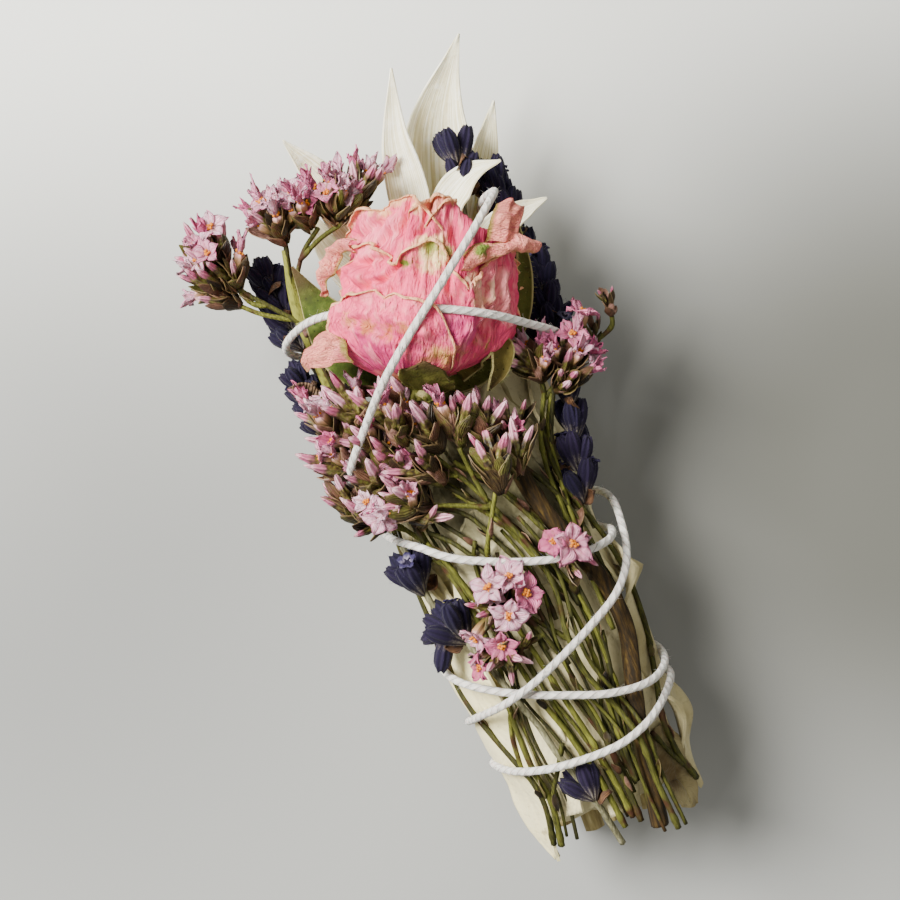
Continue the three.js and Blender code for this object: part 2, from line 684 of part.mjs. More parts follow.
const SPRAYS = [
  {
    stems: [
      [
        ...onLeaves(LOW, [-9.6, -55.6], [-9.4, -49], [-9.6, -45], [-10.6, -41.3], [-12.3, -36.4], [-13.7, -32.4]),
        ...onLeaves(LOW, [-14.5, -28.3], [-14.7, -22], [-15.4, -8], [-15.4, 4]),
        point(-15.6, 14, 17.4),
        point(-16.9, 23, 19.8),
        point(-17.5, 31.7, 21),
        point(-16.4, 39, 23),
        point(-15.2, 43.7, 24.4),
      ],
      [point(-17.4, 30.6, 21), point(-21.3, 34.8, 21.6), point(-25, 38.6, 21.9), point(-26.8, 41.6, 22.3), point(-27.2, 44, 23)],
      [point(-17.0, 35.4, 21.8), point(-13.6, 40.4, 23), point(-10.2, 42.8, 24.4)],
      [point(-14.6, 39.4, 22.8), point(-10.2, 41.4, 23.8), point(-6.2, 42.2, 24.8)],
    ],
    heads: [
      { at: point(-15.2, 43.9, 24.5), axis: point(0.15, 0.93, 0.4), count: 6, spread: 55 },
      { at: point(-26.6, 40.6, 22.2), axis: point(-0.35, 0.85, 0.3), count: 6, spread: 80 },
      { at: point(-27.2, 44.2, 23), axis: point(-0.05, 0.9, 0.4), count: 5, spread: 70 },
      { at: point(-24.6, 38.2, 21.8), axis: point(-0.8, 0.55, 0.25), count: 3, spread: 36, openEach: 0 },
      { at: point(-10.2, 43.0, 24.5), axis: point(0, 0.9, 0.45), count: 5, spread: 55 },
      { at: point(-6.2, 42.3, 25), axis: point(0.3, 0.85, 0.45), count: 6, spread: 62, openEach: 3 },
    ],
  },
  {
    stems: [
      [
        ...onLeaves(LOW, [15.0, -54], [13.4, -49], [12.9, -43], [14.2, -37], [15.4, -31], [15.8, -25], [15.0, -18]),
        ...onLeaves(LOW, [13.0, -11], [11.0, -5], [10.6, 1]),
        point(11.4, 5.4, 21.6),
        point(12.6, 8.4, 23.2),
        point(13.0, 11, 24.2),
      ],
      [point(12.2, 7.4, 22.8), point(14.4, 9.0, 23.2), point(16.5, 10.9, 23.8)],
      [point(14.4, 9.0, 23.2), point(18.6, 11.4, 22.6), point(22.8, 13.2, 22), point(25.8, 14.6, 22), point(26.4, 17, 22.2)],
    ],
    heads: [
      { at: point(13.0, 11.4, 24.5), axis: point(0.2, 0.85, 0.45), count: 6, spread: 52 },
      { at: point(16.6, 11.1, 24), axis: point(0.5, 0.75, 0.4), count: 5, spread: 55 },
      { at: point(14.6, 8.6, 23.6), axis: point(0.7, 0.2, 0.7), count: 3, spread: 45, openEach: 0 },
      { at: point(26.4, 17, 22.2), axis: point(0.1, 1, 0.1), count: 2, spread: 40, openEach: 0, size: 0.6 },
      { at: point(22.8, 13.2, 22), axis: point(0.1, 1, 0.2), count: 2, spread: 30, openEach: 0, size: 0.6 },
    ],
  },
  {
    stems: [
      [
        ...onLeaves(TOP, [9.3, -58], [8.7, -50], [8.3, -43]),
        ...onLeaves(HIGH, [6.9, -38.4], [5.3, -34.9], [4.0, -31], [3.7, -25.6], [4.2, -19], [3.5, -13.7], [0.9, -6.8]),
        ...onLeaves(HIGH, [-1.6, -1.6]),
        point(-5.4, 5.0, 28.6),
        point(-8.7, 9.4, 30.6),
      ],
      [over(-0.6, -3.6, HIGH), point(-1.4, 1.4, 28.4), point(-1.9, 5.2, 29.6)],
      [over(-0.2, -4.6, HIGH), point(-5, -2.6, 27.6), point(-9.2, -1.1, 27.4)],
      [point(-3.4, 1.4, 27.6), point(-7, 3.6, 27), point(-9.8, 5.8, 27)],
    ],
    heads: [
      { at: point(-8.9, 9.8, 30.8), axis: point(0.2, 0.78, 0.6), count: 5, spread: 46, openEach: 3 },
      { at: point(-1.9, 5.4, 29.8), axis: point(-0.1, 0.9, 0.4), count: 6, spread: 46, openEach: 0 },
      { at: point(-9.5, -1.0, 27.4), axis: point(-0.71, 0.68, 0.3), count: 5, spread: 50, openEach: 4 },
      { at: point(-10, 6, 27), axis: point(0.08, 0.5, 0.9), count: 4, spread: 45, openEach: 2 },
    ],
  },
  {
    stems: [
      [
        ...onLeaves(LOW, [-7.7, -56], [-7.0, -48], [-7.8, -43], [-8.2, -36], [-7.4, -26], [-8.8, -15]),
        ...onLeaves(LOW, [-11.2, -6], [-12.6, 3]),
        point(-14.2, 10, 22.6),
        point(-17.6, 13.5, 25),
      ],
      [point(-13.0, 8, 22), point(-13.2, 11, 24.6), point(-13.4, 13.8, 26.8)],
    ],
    heads: [
      { at: point(-18.0, 13.8, 25.2), axis: point(-0.2, 0.92, 0.35), count: 5, spread: 44, openEach: 3 },
      { at: point(-13.4, 14.1, 27), axis: point(-0.23, 0.83, 0.5), count: 4, spread: 40, openEach: 4 },
    ],
  },
  {
    stems: [
      [
        ...onLeaves(LOW, [2.1, -55.6], [1.0, -48], [-0.2, -43], [-1.5, -38.4], [-3.2, -33.4], [-6.4, -20]),
        ...onLeaves(HIGH, [-9.9, -8.7], [-13.4, -3.6]),
        point(-16.0, -0.6, 24.4),
      ],
      [over(-13.4, -3.6, HIGH), point(-17.6, -0.4, 22.6), point(-19.8, 1.6, 23.4)],
      [over(-11.4, -6.4, HIGH), point(-12.8, 0, 25), point(-14, 4.4, 25.2)],
      [point(-13.6, 3.2, 25.2), point(-16.4, 7.0, 24.6), point(-19, 8.9, 24.8)],
    ],
    heads: [
      { at: point(-19.9, 1.8, 23.6), axis: point(-0.25, 0.95, 0.3), count: 5, spread: 40, openEach: 0 },
      { at: point(-16.2, -0.8, 24.6), axis: point(0, -0.1, 1), count: 4, spread: 46, openEach: 3 },
      { at: point(-14.0, 4.7, 25.4), axis: point(-0.24, 0.51, 0.8), count: 5, spread: 62 },
      { at: point(-19.1, 9.0, 24.8), axis: point(-0.86, 0.42, 0.3), count: 3, spread: 34 },
    ],
  },
  {
    stems: [
      [
        ...onLeaves(LOW, [3.7, -54.6], [2.7, -46.7], [1.4, -40.3], [0, -34.5], [-1.6, -27.2], [-3.2, -20]),
        ...onLeaves(LOW, [-3.4, -11.7]),
        ...onLeaves(HIGH, [-2.6, -9]),
        ...onLeaves(TOP, [-0.2, -4.6]),
        point(1.7, -1, 30.8),
      ],
    ],
    heads: [{ at: point(1.8, -0.8, 31), axis: point(0.32, 0.89, 0.3), count: 7, spread: 42, openEach: 0, size: 1.1 }],
  },
  {
    stems: [
      [
        ...onLeaves(LOW, [6.0, -49.8], [6.0, -45], [6.6, -39], [7.6, -34.5], [8.4, -28], [7.6, -20], [6.9, -15]),
        point(6.3, -12.4, 27.2),
      ],
      [over(6.9, -15, LOW), point(8.3, -12.6, 27)],
    ],
    heads: [
      { at: point(6.2, -12.2, 27.4), axis: point(-0.15, 0.3, 1), count: 2, spread: 20, openEach: 2 },
      { at: point(8.5, -12.3, 27.2), axis: point(0.1, -0.15, 1), count: 3, spread: 34, openEach: 2 },
    ],
  },
  {
    stems: [
      [...onLeaves(LOW, [4.7, -55.6], [4.2, -48], [3.8, -41.8], [2.6, -36], [2.0, -30]), ...onLeaves(HIGH, [0.4, -24.4], [-2.2, -19])],
      [over(0.4, -24.4, HIGH), point(-3, -25.0, 27.4), point(-6.9, -24.2, 27.2)],
      [point(-3, -25.0, 27.4), point(-4.4, -26.6, 28), point(-5.3, -27.8, 28.2)],
    ],
    heads: [
      { at: point(-2.5, -18.2, 27.2), axis: point(0, 0.1, 1), count: 6, spread: 54, openEach: 1 },
      { at: point(-7.1, -24.2, 27.2), axis: point(-0.28, 0.1, 1), count: 5, spread: 58, openEach: 1 },
      { at: point(-5.4, -28.0, 28.2), axis: point(0.2, -0.8, 0.5), count: 2, spread: 30, openEach: 0, size: 0.7 },
    ],
  },
];

// The direction that leans `lean` degrees away from the axis, at `turn` round it.
function leaning(axis, turn, lean) {
  const unit = axis.clone().normalize();
  const first = point(0, 0, 1).cross(unit).normalize();
  const second = unit.clone().cross(first);
  return unit
    .clone()
    .multiplyScalar(Math.cos(radians(lean)))
    .addScaledVector(first, Math.sin(radians(lean)) * Math.cos(turn))
    .addScaledVector(second, Math.sin(radians(lean)) * Math.sin(turn));
}

// A lavender sprig: its stem, a line of points, with whorls of cups along it. A row of whorls runs from `foot` to
// `tip`, and each whorl's cups lean out from the row, less so towards its tip.
function sprig({ stem, rows, thick = 1 }) {
  return (grow) => {
    const cups = rows.flatMap(({ foot, tip, whorls, each, lean = 34, size = 1 }) => {
      const axis = tip.clone().sub(foot);
      return Array.from({ length: whorls * each }, (_, n) => {
        const k = Math.floor(n / each);
        const share = whorls > 1 ? k / (whorls - 1) : 0;
        const scale = size * (1 - 0.14 * share);
        const [radius, length] = [CALYX_RADIUS * scale, CALYX_LENGTH * scale];
        const turn = (((n % each) + 0.5 * (k % 2)) / each) * 2 * Math.PI;
        const at = foot.clone().addScaledVector(axis, share * (whorls > 1 ? 1 : 0));
        const profile = [[0, 0], [radius, length * 0.5], [0, length]];
        return turned(profile, 4, at, leaning(axis, turn, lean * (1 - 0.45 * share)), grow);
      });
    });
    return joined([rod(stem, STEM_RADIUS * thick + grow, 5, 8), ...cups]);
  };
}
const SPRIGS = [
  {
    stem: [point(-15.4, 8, 9), point(-17.4, 19, 11.4), point(-19.2, 28, 14.6), point(-20.4, 38.8, 16.6)],
    rows: [{ foot: point(-19.2, 28.6, 15), tip: point(-20.4, 38, 16.6), whorls: 4, each: 4 }],
  },
  {
    stem: [point(-17.6, 2, 12.6), point(-18.6, 13.6, 14.4), point(-20.7, 22.4, 15.6)],
    rows: [{ foot: point(-18.6, 13.6, 14.4), tip: point(-20.4, 21, 15.4), whorls: 3, each: 4 }],
  },
  {
    stem: [point(14.6, 12, 10), point(15.6, 22, 13.4), point(16.6, 30, 15.8), point(17.0, 41.2, 17.1)],
    rows: [{ foot: point(16.6, 29.4, 15.6), tip: point(16.9, 40, 17), whorls: 4, each: 4 }],
  },
  {
    stem: [point(10.8, 37.6, 20.2), point(11.8, 41.4, 20.6), point(12.5, 45.6, 20.8)],
    rows: [{ foot: point(12.4, 45, 20.8), tip: point(12.6, 46, 20.8), whorls: 1, each: 3, lean: 22 }],
  },
  {
    stem: [point(15.6, 1, 11.6), point(17.0, 14, 15.6), point(18.6, 25.6, 16.9)],
    rows: [{ foot: point(17.0, 15, 15.8), tip: point(18.4, 24.4, 16.8), whorls: 4, each: 4 }],
  },
  {
    stem: [point(13.4, -13, 19.4), point(13.0, -9.2, 19.6), point(13.8, -1.6, 20.2), point(16.2, 6, 20)],
    rows: [{ foot: point(13.0, -8.8, 19.6), tip: point(15.8, 4.8, 20), whorls: 3, each: 4, lean: 24, size: 1.1 }],
  },
  {
    stem: [
      point(1.0, -58.7, 20.6),
      point(-0.6, -51, 24.0),
      ...onLeaves(LOW, [-1.8, -47], [-3.7, -41.8], [-4.8, -37.3]),
      ...onLeaves(HIGH, [-6.2, -33.3], [-8.2, -27.6]),
      point(-11.0, -21.2, 23.6),
      point(-13.5, -15.4, 22.2),
      point(-14.4, -8.5, 21.6),
      point(-14.8, -5.6, 21.4),
    ],
    rows: [
      { foot: point(-0.8, -50.4, 24.3), tip: point(-1.2, -49.2, 24.6), whorls: 1, each: 5, lean: 22 },
      { foot: point(-11.0, -21.4, 23.4), tip: point(-11.6, -20.2, 23.5), whorls: 1, each: 5, lean: 30, size: 1.05 },
      { foot: point(-12.4, -19.0, 22.6), tip: point(-13.6, -19.9, 22.0), whorls: 1, each: 2, lean: 18, size: 1.1 },
      { foot: point(-14.2, -12.8, 21.9), tip: point(-14.4, -11.4, 22), whorls: 1, each: 5, lean: 26, size: 1.1 },
    ],
  },
];

// Dry brown leaves caught among the flowers.
const DRY_LEAVES = [
  {
    line: [point(-8.6, 16.6, 26.2), point(-11.4, 17.6, 26.6), point(-15, 18.4, 25.8), point(-18.6, 18.4, 25.0)],
    widths: [0.5, 0.9, 1.1, 0.9, 0.4],
    face: [0, -0.6, 1],
    cup: 0.3,
  },
];

// The finished pieces, first those that keep their whole shape. Each later one is cut back to leave a gap round
// those before it, and a scrap that a cut leaves loose is dropped.
const COLOURS = {
  string: [0xf2f0ea, 0.9],
  sage: [0xdcd8c2, 0.75],
  petal: [0xd98a95, 0.7],
  sepal: [0x66702f, 0.8],
  statice: [0xc79aa4, 0.75],
  lavender: [0x35335c, 0.85],
};
const named = (name, finish, list, make) =>
  list.map((one, k) => ({ name: `${name}_${k + 1}`, finish, make: make(one) }));
const PIECES = [
  { name: "string", finish: "string", make: string },
  { name: "rose_stem", finish: "sepal", make: roseStem },
  ...named("statice_spray", "statice", SPRAYS, spray),
  ...named("lavender_sprig", "lavender", SPRIGS, sprig),
  ...named("dry_leaf", "sepal", DRY_LEAVES, standingLeaf),
  { name: "rose_bloom", finish: "petal", make: rose },
  ...named("sage_tip_leaf", "sage", STANDING_LEAVES, standingLeaf),
  ...named("sage_leaf", "sage", LAID_LEAVES, laidLeaf),
  { name: "sage_bundle", finish: "sage", make: bundle },
];

const touching = (a, b) =>
  [0, 1, 2].every((k) => a.min[k] < b.max[k] && b.min[k] < a.max[k]);

function largestBody(solid) {
  return solid.decompose().reduce((best, body) => (body.volume() > best.volume() ? body : best));
}

// The largest body of a cut solid, without the slivers the cuts left along its edges.
function settled(solid) {
  const whole = largestBody(solid.simplify(CUT_TOLERANCE));
  return largestBody(solidOf(geometryOf(whole), 1e-3));
}

const smudgeStick = new THREE.Group();
smudgeStick.name = "sage_smudge_stick";
const keepOut = [];
for (const { name, finish, make } of PIECES) {
  let solid = make(0);
  const box = solid.boundingBox();
  for (const other of keepOut) {
    if (touching(box, other.box)) solid = solid.subtract(other.solid);
  }
  solid = settled(solid);
  const room = make(GAP);
  keepOut.push({ solid: room, box: room.boundingBox() });
  const [color, roughness] = COLOURS[finish];
  const mesh = new THREE.Mesh(geometryOf(solid), new THREE.MeshStandardMaterial({ color, roughness, metalness: 0 }));
  mesh.name = name;
  smudgeStick.add(mesh);
}

export default smudgeStick;
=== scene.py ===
import math

import bpy
import numpy as np
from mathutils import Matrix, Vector


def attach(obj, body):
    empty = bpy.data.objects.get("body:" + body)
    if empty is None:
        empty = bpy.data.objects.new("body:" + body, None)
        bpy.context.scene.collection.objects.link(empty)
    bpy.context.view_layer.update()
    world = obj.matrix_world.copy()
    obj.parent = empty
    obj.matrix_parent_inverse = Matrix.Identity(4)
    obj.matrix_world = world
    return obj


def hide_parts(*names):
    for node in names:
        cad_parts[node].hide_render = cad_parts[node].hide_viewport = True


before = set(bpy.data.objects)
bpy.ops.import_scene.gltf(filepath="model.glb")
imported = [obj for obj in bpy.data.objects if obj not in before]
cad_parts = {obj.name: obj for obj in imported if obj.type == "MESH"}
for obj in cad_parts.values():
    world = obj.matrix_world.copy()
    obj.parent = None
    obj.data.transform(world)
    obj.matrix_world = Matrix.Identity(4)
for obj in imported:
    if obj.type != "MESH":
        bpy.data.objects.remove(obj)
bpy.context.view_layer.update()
rng = np.random.default_rng(7)

# Pressed bundle, outline.
# White sage leaves are gathered, wrapped round one another and pressed into an oval roll, flat where it
# lies. Every other piece is laid on this roll, so its outline comes first. All sizes are in millimetres.
MM = 0.001
SECTIONS = np.array(
    [
        # y, middle x, half width, half height
        [-60, 2.4, 11.6, 11.0],
        [-45, 1.8, 12.6, 11.8],
        [-30, 0.8, 13.2, 12.2],
        [-10, 0.0, 13.8, 12.2],
        [5, -0.2, 13.6, 11.4],
        [20, 0.5, 12.0, 9.0],
        [30, 2.0, 9.5, 7.0],
        [38, 4.0, 6.0, 4.5],
    ]
)
PRESSED_FLAT = 0.8  # taken off the underside
LIFT_FROM = 12  # y from which the roll rises off the table
LIFT_RATE = 0.14  # its rise over its way along y


def section_at(y):
    """The oval's middle x, half width, half height and middle height at y, on straight lines between the
    sections."""
    y = np.asarray(y, float)
    middle, half_width, half_height = (np.interp(y, SECTIONS[:, 0], SECTIONS[:, k]) for k in (1, 2, 3))
    height = half_height - PRESSED_FLAT + LIFT_RATE * np.maximum(0, y - LIFT_FROM)
    return middle, half_width, half_height, height


def on_bundle(angle, y, lift):
    """A point of the oval, `lift` outside it: its middle plus the half sizes times the sine and cosine of
    the angle, which is in degrees, 0 at the front and 90 at +X."""
    middle, half_width, half_height, height = section_at(y)
    a = np.radians(angle)
    x = middle + (half_width + lift) * np.sin(a)
    z = height + (half_height + lift) * np.cos(a)
    return np.stack(np.broadcast_arrays(x, y, z), -1)


def over(x, y, lift):
    """The point straight over x and y on the oval's upper side, `lift` above it."""
    middle, half_width, _, _ = section_at(y)
    share = np.clip((x - middle) / (half_width + lift), -0.97, 0.97)
    return on_bundle(np.degrees(np.arcsin(share)), y, lift)


# String.
# One length of white cotton twine, three strands twisted together, wound tight from a knot under the cut
# end up over the rose and back. All that it crosses is drawn in under it, so its way is set out before the
# leaves.
STRING_RADIUS = 0.65
STRING_ABOVE_TABLE = 1.1
STRANDS = 3
STRING_TWIST = 5.2  # length of one full turn of a strand
STRING_FIBRES = 2800
STRING_CLEAR = 0.12  # from the string's skin to what it presses on


def beside(angle, y, lift):
    """A place of the string close by the bundle, kept above the table."""
    p = on_bundle(angle, y, lift)
    p[2] = max(p[2], STRING_ABOVE_TABLE - min(0, lift))
    return p


KNOT = beside(178, -48.5, -0.8)
STRING_ROUTE = [
    KNOT,
    beside(-160, -47, 0.2),
    beside(-125, -44.5, 1.2),
    (-13.4, -42, 14),
    (-11.0, -42.8, 21),
    (-6.2, -43.2, 26.6),
    (-0.8, -43.3, 28.8),
    (5.5, -42.9, 29.4),
    (10.2, -41.6, 27.8),
    (14.4, -39.6, 22.5),
    (16.8, -37.8, 15),
    beside(118, -36.5, 1.2),
    beside(150, -34, 0.2),
    beside(180, -30, 0.2),
    beside(-155, -27, -1.6),
    beside(-128, -25, 0.6),
    (-15.8, -24.4, 14),
    (-14.0, -27.2, 22),
    (-9.7, -29.6, 26.4),
    (-4.8, -31.7, 28.6),
    (1.0, -33.8, 29.4),
    (6.6, -35.6, 29.0),
    (12.6, -36.4, 26.2),
    (16.4, -35.4, 19),
    beside(104, -33.6, 1.8),
    beside(134, -34, -1.2),
    beside(152, -36, -1.6),
    beside(180, -38, -0.6),
    beside(-158, -38, -1.6),
    beside(-126, -36.5, 0.8),
    (-14.6, -34.6, 15),
    (-12.8, -33.4, 22),
    (-8.2, -31.9, 28.8),
    (-3.4, -30.2, 30.8),
    (1.8, -28.0, 30.4),
    (7.9, -25.1, 28.8),
    (12.6, -22.4, 26.6),
    (16.0, -18.6, 22.5),
    (17.4, -13.4, 18.4),
    (17.4, -9.6, 14),
    beside(118, -7.6, 1.8),
    beside(150, -8, 0.2),
    beside(180, -8, 0.2),
    beside(-155, -7, -1.6),
    beside(-126, -4.6, 0.8),
    (-16.8, -3.0, 14),
    (-15.6, -4.4, 21),
    (-12.4, -6.4, 26.2),
    (-8.5, -9.3, 28.4),
    (-2.0, -12.2, 29.6),
    (5.0, -14.4, 29.6),
    (10.8, -15.2, 27.6),
    (14.2, -15.0, 24.6),
    (15.6, -14.2, 19),
    beside(104, -13, 0.6),
    beside(122, -8.6, -0.6),
    beside(138, 0, -1.2),
    beside(150, 9, -1.6),
    beside(166, 15, -1.6),
    beside(-170, 18, -1.6),
    beside(-130, 22, 1.2),
    (-16.6, 25.2, 9.5),
    (-20.9, 27.3, 15.5),
    (-20.6, 28.6, 22),
    (-16.2, 29.7, 29),
    (-11.0, 28.9, 34.6),
    (-4.4, 27.2, 38.2),
    (2.2, 24.3, 39.2),
    (8.4, 21.4, 37.2),
    (13.4, 18.6, 32),
    (17.8, 16.0, 25),
    (18.2, 14.0, 17),
    beside(122, 11.6, 1.6),
    beside(145, 10, 0.2),
    beside(172, 9, 0.2),
    beside(-160, 8, -1.6),
    beside(-130, 7, 0.8),
    (-17.6, 5.4, 14),
    (-18.8, 5.2, 22),
    (-17.6, 7.8, 28.4),
    (-13.4, 12.6, 32.6),
    (-8.8, 17.4, 36.8),
    (-2.8, 22.4, 40.2),
    (3.3, 27.2, 40.9),
    (9.5, 32.3, 39.4),
    (13.8, 36.2, 35.4),
    (15.6, 38.4, 29),
    (13.8, 38.4, 21.6),
    (13.2, 36.2, 14.6),
    (12.2, 31.6, 8.6),
    beside(146, 24, 0.6),
    beside(172, 18, 0.2),
    beside(-162, 10, 0.2),
    beside(-155, -6, 0.2),
    beside(-155, -27, 0.2),
    beside(-160, -40, 0.2),
    beside(-172, -47, 0),
    KNOT,
]


def unit(vectors):
    """Vectors divided by their lengths."""
    vectors = np.asarray(vectors, float)
    return vectors / np.maximum(np.linalg.norm(vectors, axis=-1, keepdims=True), 1e-9)


def smooth_path(points, step):
    """A curve through the points in equal steps: each span blends the straight lines through its four
    nearest points, timed by the square roots of their distances."""
    p = np.asarray(points, float)
    p = np.vstack([2 * p[0] - p[1], p, 2 * p[-1] - p[-2]])
    t = np.concatenate([[0], np.cumsum(np.sqrt(np.linalg.norm(np.diff(p, axis=0), axis=1)))])
    t0, t1, t2, t3 = (t[k : len(t) - 3 + k, None, None] for k in range(4))
    p0, p1, p2, p3 = (p[k : len(p) - 3 + k, None, :] for k in range(4))
    now = t1 + (t2 - t1) * np.linspace(0, 1, 17)[None, :-1, None]

    def blend(a, b, ta, tb):
        """On the straight line from a, passed at time ta, to b, passed at time tb."""
        return ((tb - now) * a + (now - ta) * b) / (tb - ta)

    a1, a2, a3 = blend(p0, p1, t0, t1), blend(p1, p2, t1, t2), blend(p2, p3, t2, t3)
    curve = blend(blend(a1, a2, t0, t2), blend(a2, a3, t1, t3), t1, t2).reshape(-1, 3)
    curve = np.vstack([curve, p[-2]])
    way = np.concatenate([[0], np.cumsum(np.linalg.norm(np.diff(curve, axis=0), axis=1))])
    stops = np.linspace(0, way[-1], max(2, round(way[-1] / step) + 1))
    return np.stack([np.interp(stops, way, curve[:, k]) for k in range(3)], -1)


def waves(points, size, seed, count=12):
    """Soft bumps between about -1 and 1: the sum of sine waves of random direction and of length near
    `size`, divided by 1.6 times its usual spread."""
    draw = np.random.default_rng(seed)
    along = unit(draw.normal(size=(count, 3))) * (2 * math.pi / (size * draw.uniform(0.7, 1.5, (count, 1))))
    sines = np.sin(np.asarray(points) @ along.T + draw.uniform(0, 2 * math.pi, count))
    return sines.sum(-1) / math.sqrt(count / 2) / 1.6


def ring_body(rings, tone=0.5, around=1.0, along=None):
    """Closed bodies over stacks of rings (body, ring, place round it, xyz). Each ring's points are joined
    to the next ring's, and the first and last rings close in a fan on their middle. `place` runs round and
    along."""
    rings = np.asarray(rings, float)
    rings = rings.reshape((-1,) + rings.shape[-3:])
    count, rows, cols, _ = rings.shape
    along = np.linspace(0, 1, rows) if along is None else np.asarray(along)
    size = rows * cols + 2
    ends = [rings[:, :1].mean(2), rings[:, -1:].mean(2)]
    points = np.concatenate([rings.reshape(count, -1, 3), *ends], 1).reshape(-1, 3)
    row, col = np.meshgrid(np.arange(rows - 1), np.arange(cols), indexing="ij")
    row, col = row.ravel(), col.ravel()
    after = (col + 1) % cols
    quads = np.stack(
        [row * cols + col, row * cols + after, (row + 1) * cols + after, (row + 1) * cols + col], -1
    )
    u0, u1 = around * col / cols, around * (col + 1) / cols
    v0, v1 = along[row], along[row + 1]
    quad_place = np.stack([np.stack(pair, -1) for pair in ((u0, v0), (u1, v0), (u1, v1), (u0, v1))], 1)
    c = np.arange(cols)
    d = (c + 1) % cols
    last = (rows - 1) * cols
    caps = np.concatenate(
        [
            np.stack([np.full(cols, rows * cols), d, c], -1),
            np.stack([np.full(cols, rows * cols + 1), last + c, last + d], -1),
        ]
    )
    cap_place = np.zeros((2 * cols, 3, 2))
    cap_place[:, 0, 0] = np.tile((c + 0.5) / cols, 2) * around
    cap_place[:cols, 1, 0], cap_place[:cols, 2, 0] = around * (c + 1) / cols, around * c / cols
    cap_place[cols:, 1, 0], cap_place[cols:, 2, 0] = around * c / cols, around * (c + 1) / cols
    cap_place[:cols, :, 1], cap_place[cols:, :, 1] = along[0], along[-1]
    return closed_part(points, size, count, [(quads, quad_place, False), (caps, cap_place, False)], tone)


def closed_part(points, size, count, faces, tone):
    """Repeats one body's faces for each of `count` bodies of `size` points, and gives each its tone."""
    step = size * np.arange(count)[:, None, None]
    return {
        "points": points,
        "faces": [
            ((f[None] + step).reshape(-1, f.shape[1]), np.tile(p, (count, 1, 1)), flat)
            for f, p, flat in faces
        ],
        "tone": np.repeat(np.broadcast_to(np.asarray(tone, float), (count,)), size),
    }


def tube(path, radius, sides, up, tone=0.5, section=None, around=1.0):
    """A rod along a path: rings of `radius` square to it, their zero turned towards `up`. `section` gives
    the share of the radius at each place round and along."""
    path = np.asarray(path, float)
    ahead = unit(np.gradient(path, axis=0))
    across = unit(np.cross(ahead, np.broadcast_to(up, path.shape)))
    out = np.cross(across, ahead)
    a = 2 * math.pi * np.arange(sides) / sides
    way = np.concatenate([[0], np.cumsum(np.linalg.norm(np.diff(path, axis=0), axis=1))])
    reach = np.broadcast_to(np.asarray(radius, float), (len(path),))[:, None]
    if section is not None:
        reach = reach * section(a[None, :], way[:, None])
    rings = path[:, None] + reach[..., None] * (
        np.cos(a)[None, :, None] * out[:, None] + np.sin(-a)[None, :, None] * across[:, None]
    )
    return ring_body(rings, tone, around, way)


def make_piece(name, parts, slot, *nodes):
    """One mesh object from (part, finish) pairs, which stands for the named solids and stores each point's
    `place` and `tone`."""
    finishes = list(dict.fromkeys(finish for _, finish in parts))
    points, tones, corners, places, totals, finish_of, flats = [], [], [], [], [], [], []
    start = 0  # number of the part's first point
    for part, finish in parts:
        points.append(part["points"])
        tones.append(part["tone"])
        for faces, place, flat in part["faces"]:
            corners.append((faces + start).ravel())
            places.append(place.reshape(-1, 2))
            totals.append(np.full(len(faces), faces.shape[1]))
            finish_of.append(np.full(len(faces), finishes.index(finish)))
            flats.append(np.full(len(faces), flat))
        start += len(part["points"])
    corners, totals = np.concatenate(corners), np.concatenate(totals)
    mesh = bpy.data.meshes.new(name)
    mesh.vertices.add(start)
    mesh.vertices.foreach_set("co", (np.concatenate(points) * MM).ravel())
    mesh.loops.add(len(corners))
    mesh.loops.foreach_set("vertex_index", corners)
    mesh.polygons.add(len(totals))
    mesh.polygons.foreach_set("loop_start", np.cumsum(totals) - totals)
    mesh.polygons.foreach_set("material_index", np.concatenate(finish_of))
    mesh.polygons.foreach_set("use_smooth", ~np.concatenate(flats))
    mesh.uv_layers.new(name="place").data.foreach_set("uv", np.concatenate(places).ravel())
    mesh.attributes.new("tone", "FLOAT", "POINT").data.foreach_set("value", np.concatenate(tones))
    for finish in finishes:
        mesh.materials.append(finish.material)
    mesh.update(calc_edges=True)
    mesh.validate()
    made = bpy.data.objects.new(name, mesh)
    bpy.context.collection.objects.link(made)
    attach(made, "root")
    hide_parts(*nodes)
    return made


def colour(code):
    """A six-digit colour code as linear light."""
    share = np.array([int(code[k : k + 2], 16) for k in (0, 2, 4)]) / 255
    linear = np.where(share <= 0.04045, share / 12.92, ((share + 0.055) / 1.055) ** 2.4)
    return (*linear, 1)


class Field:
    """A value that varies over a surface. Each operation on it adds the Math node that works it out."""

    def __init__(self, finish, socket):
        self.finish = finish
        self.socket = socket

    def worked(self, operation, other=0.5):
        """This value through one Math node, with another where the operation takes two."""
        return self.finish.add("Math", {0: self, 1: other}, operation=operation)

    def __add__(self, other):
        return self.worked("ADD", other)

    def __sub__(self, other):
        return self.worked("SUBTRACT", other)

    def __mul__(self, other):
        return self.worked("MULTIPLY", other)

    def __abs__(self):
        return self.worked("ABSOLUTE")

    def sine(self):
        return self.worked("SINE")

    def cosine(self):
        return self.worked("COSINE")


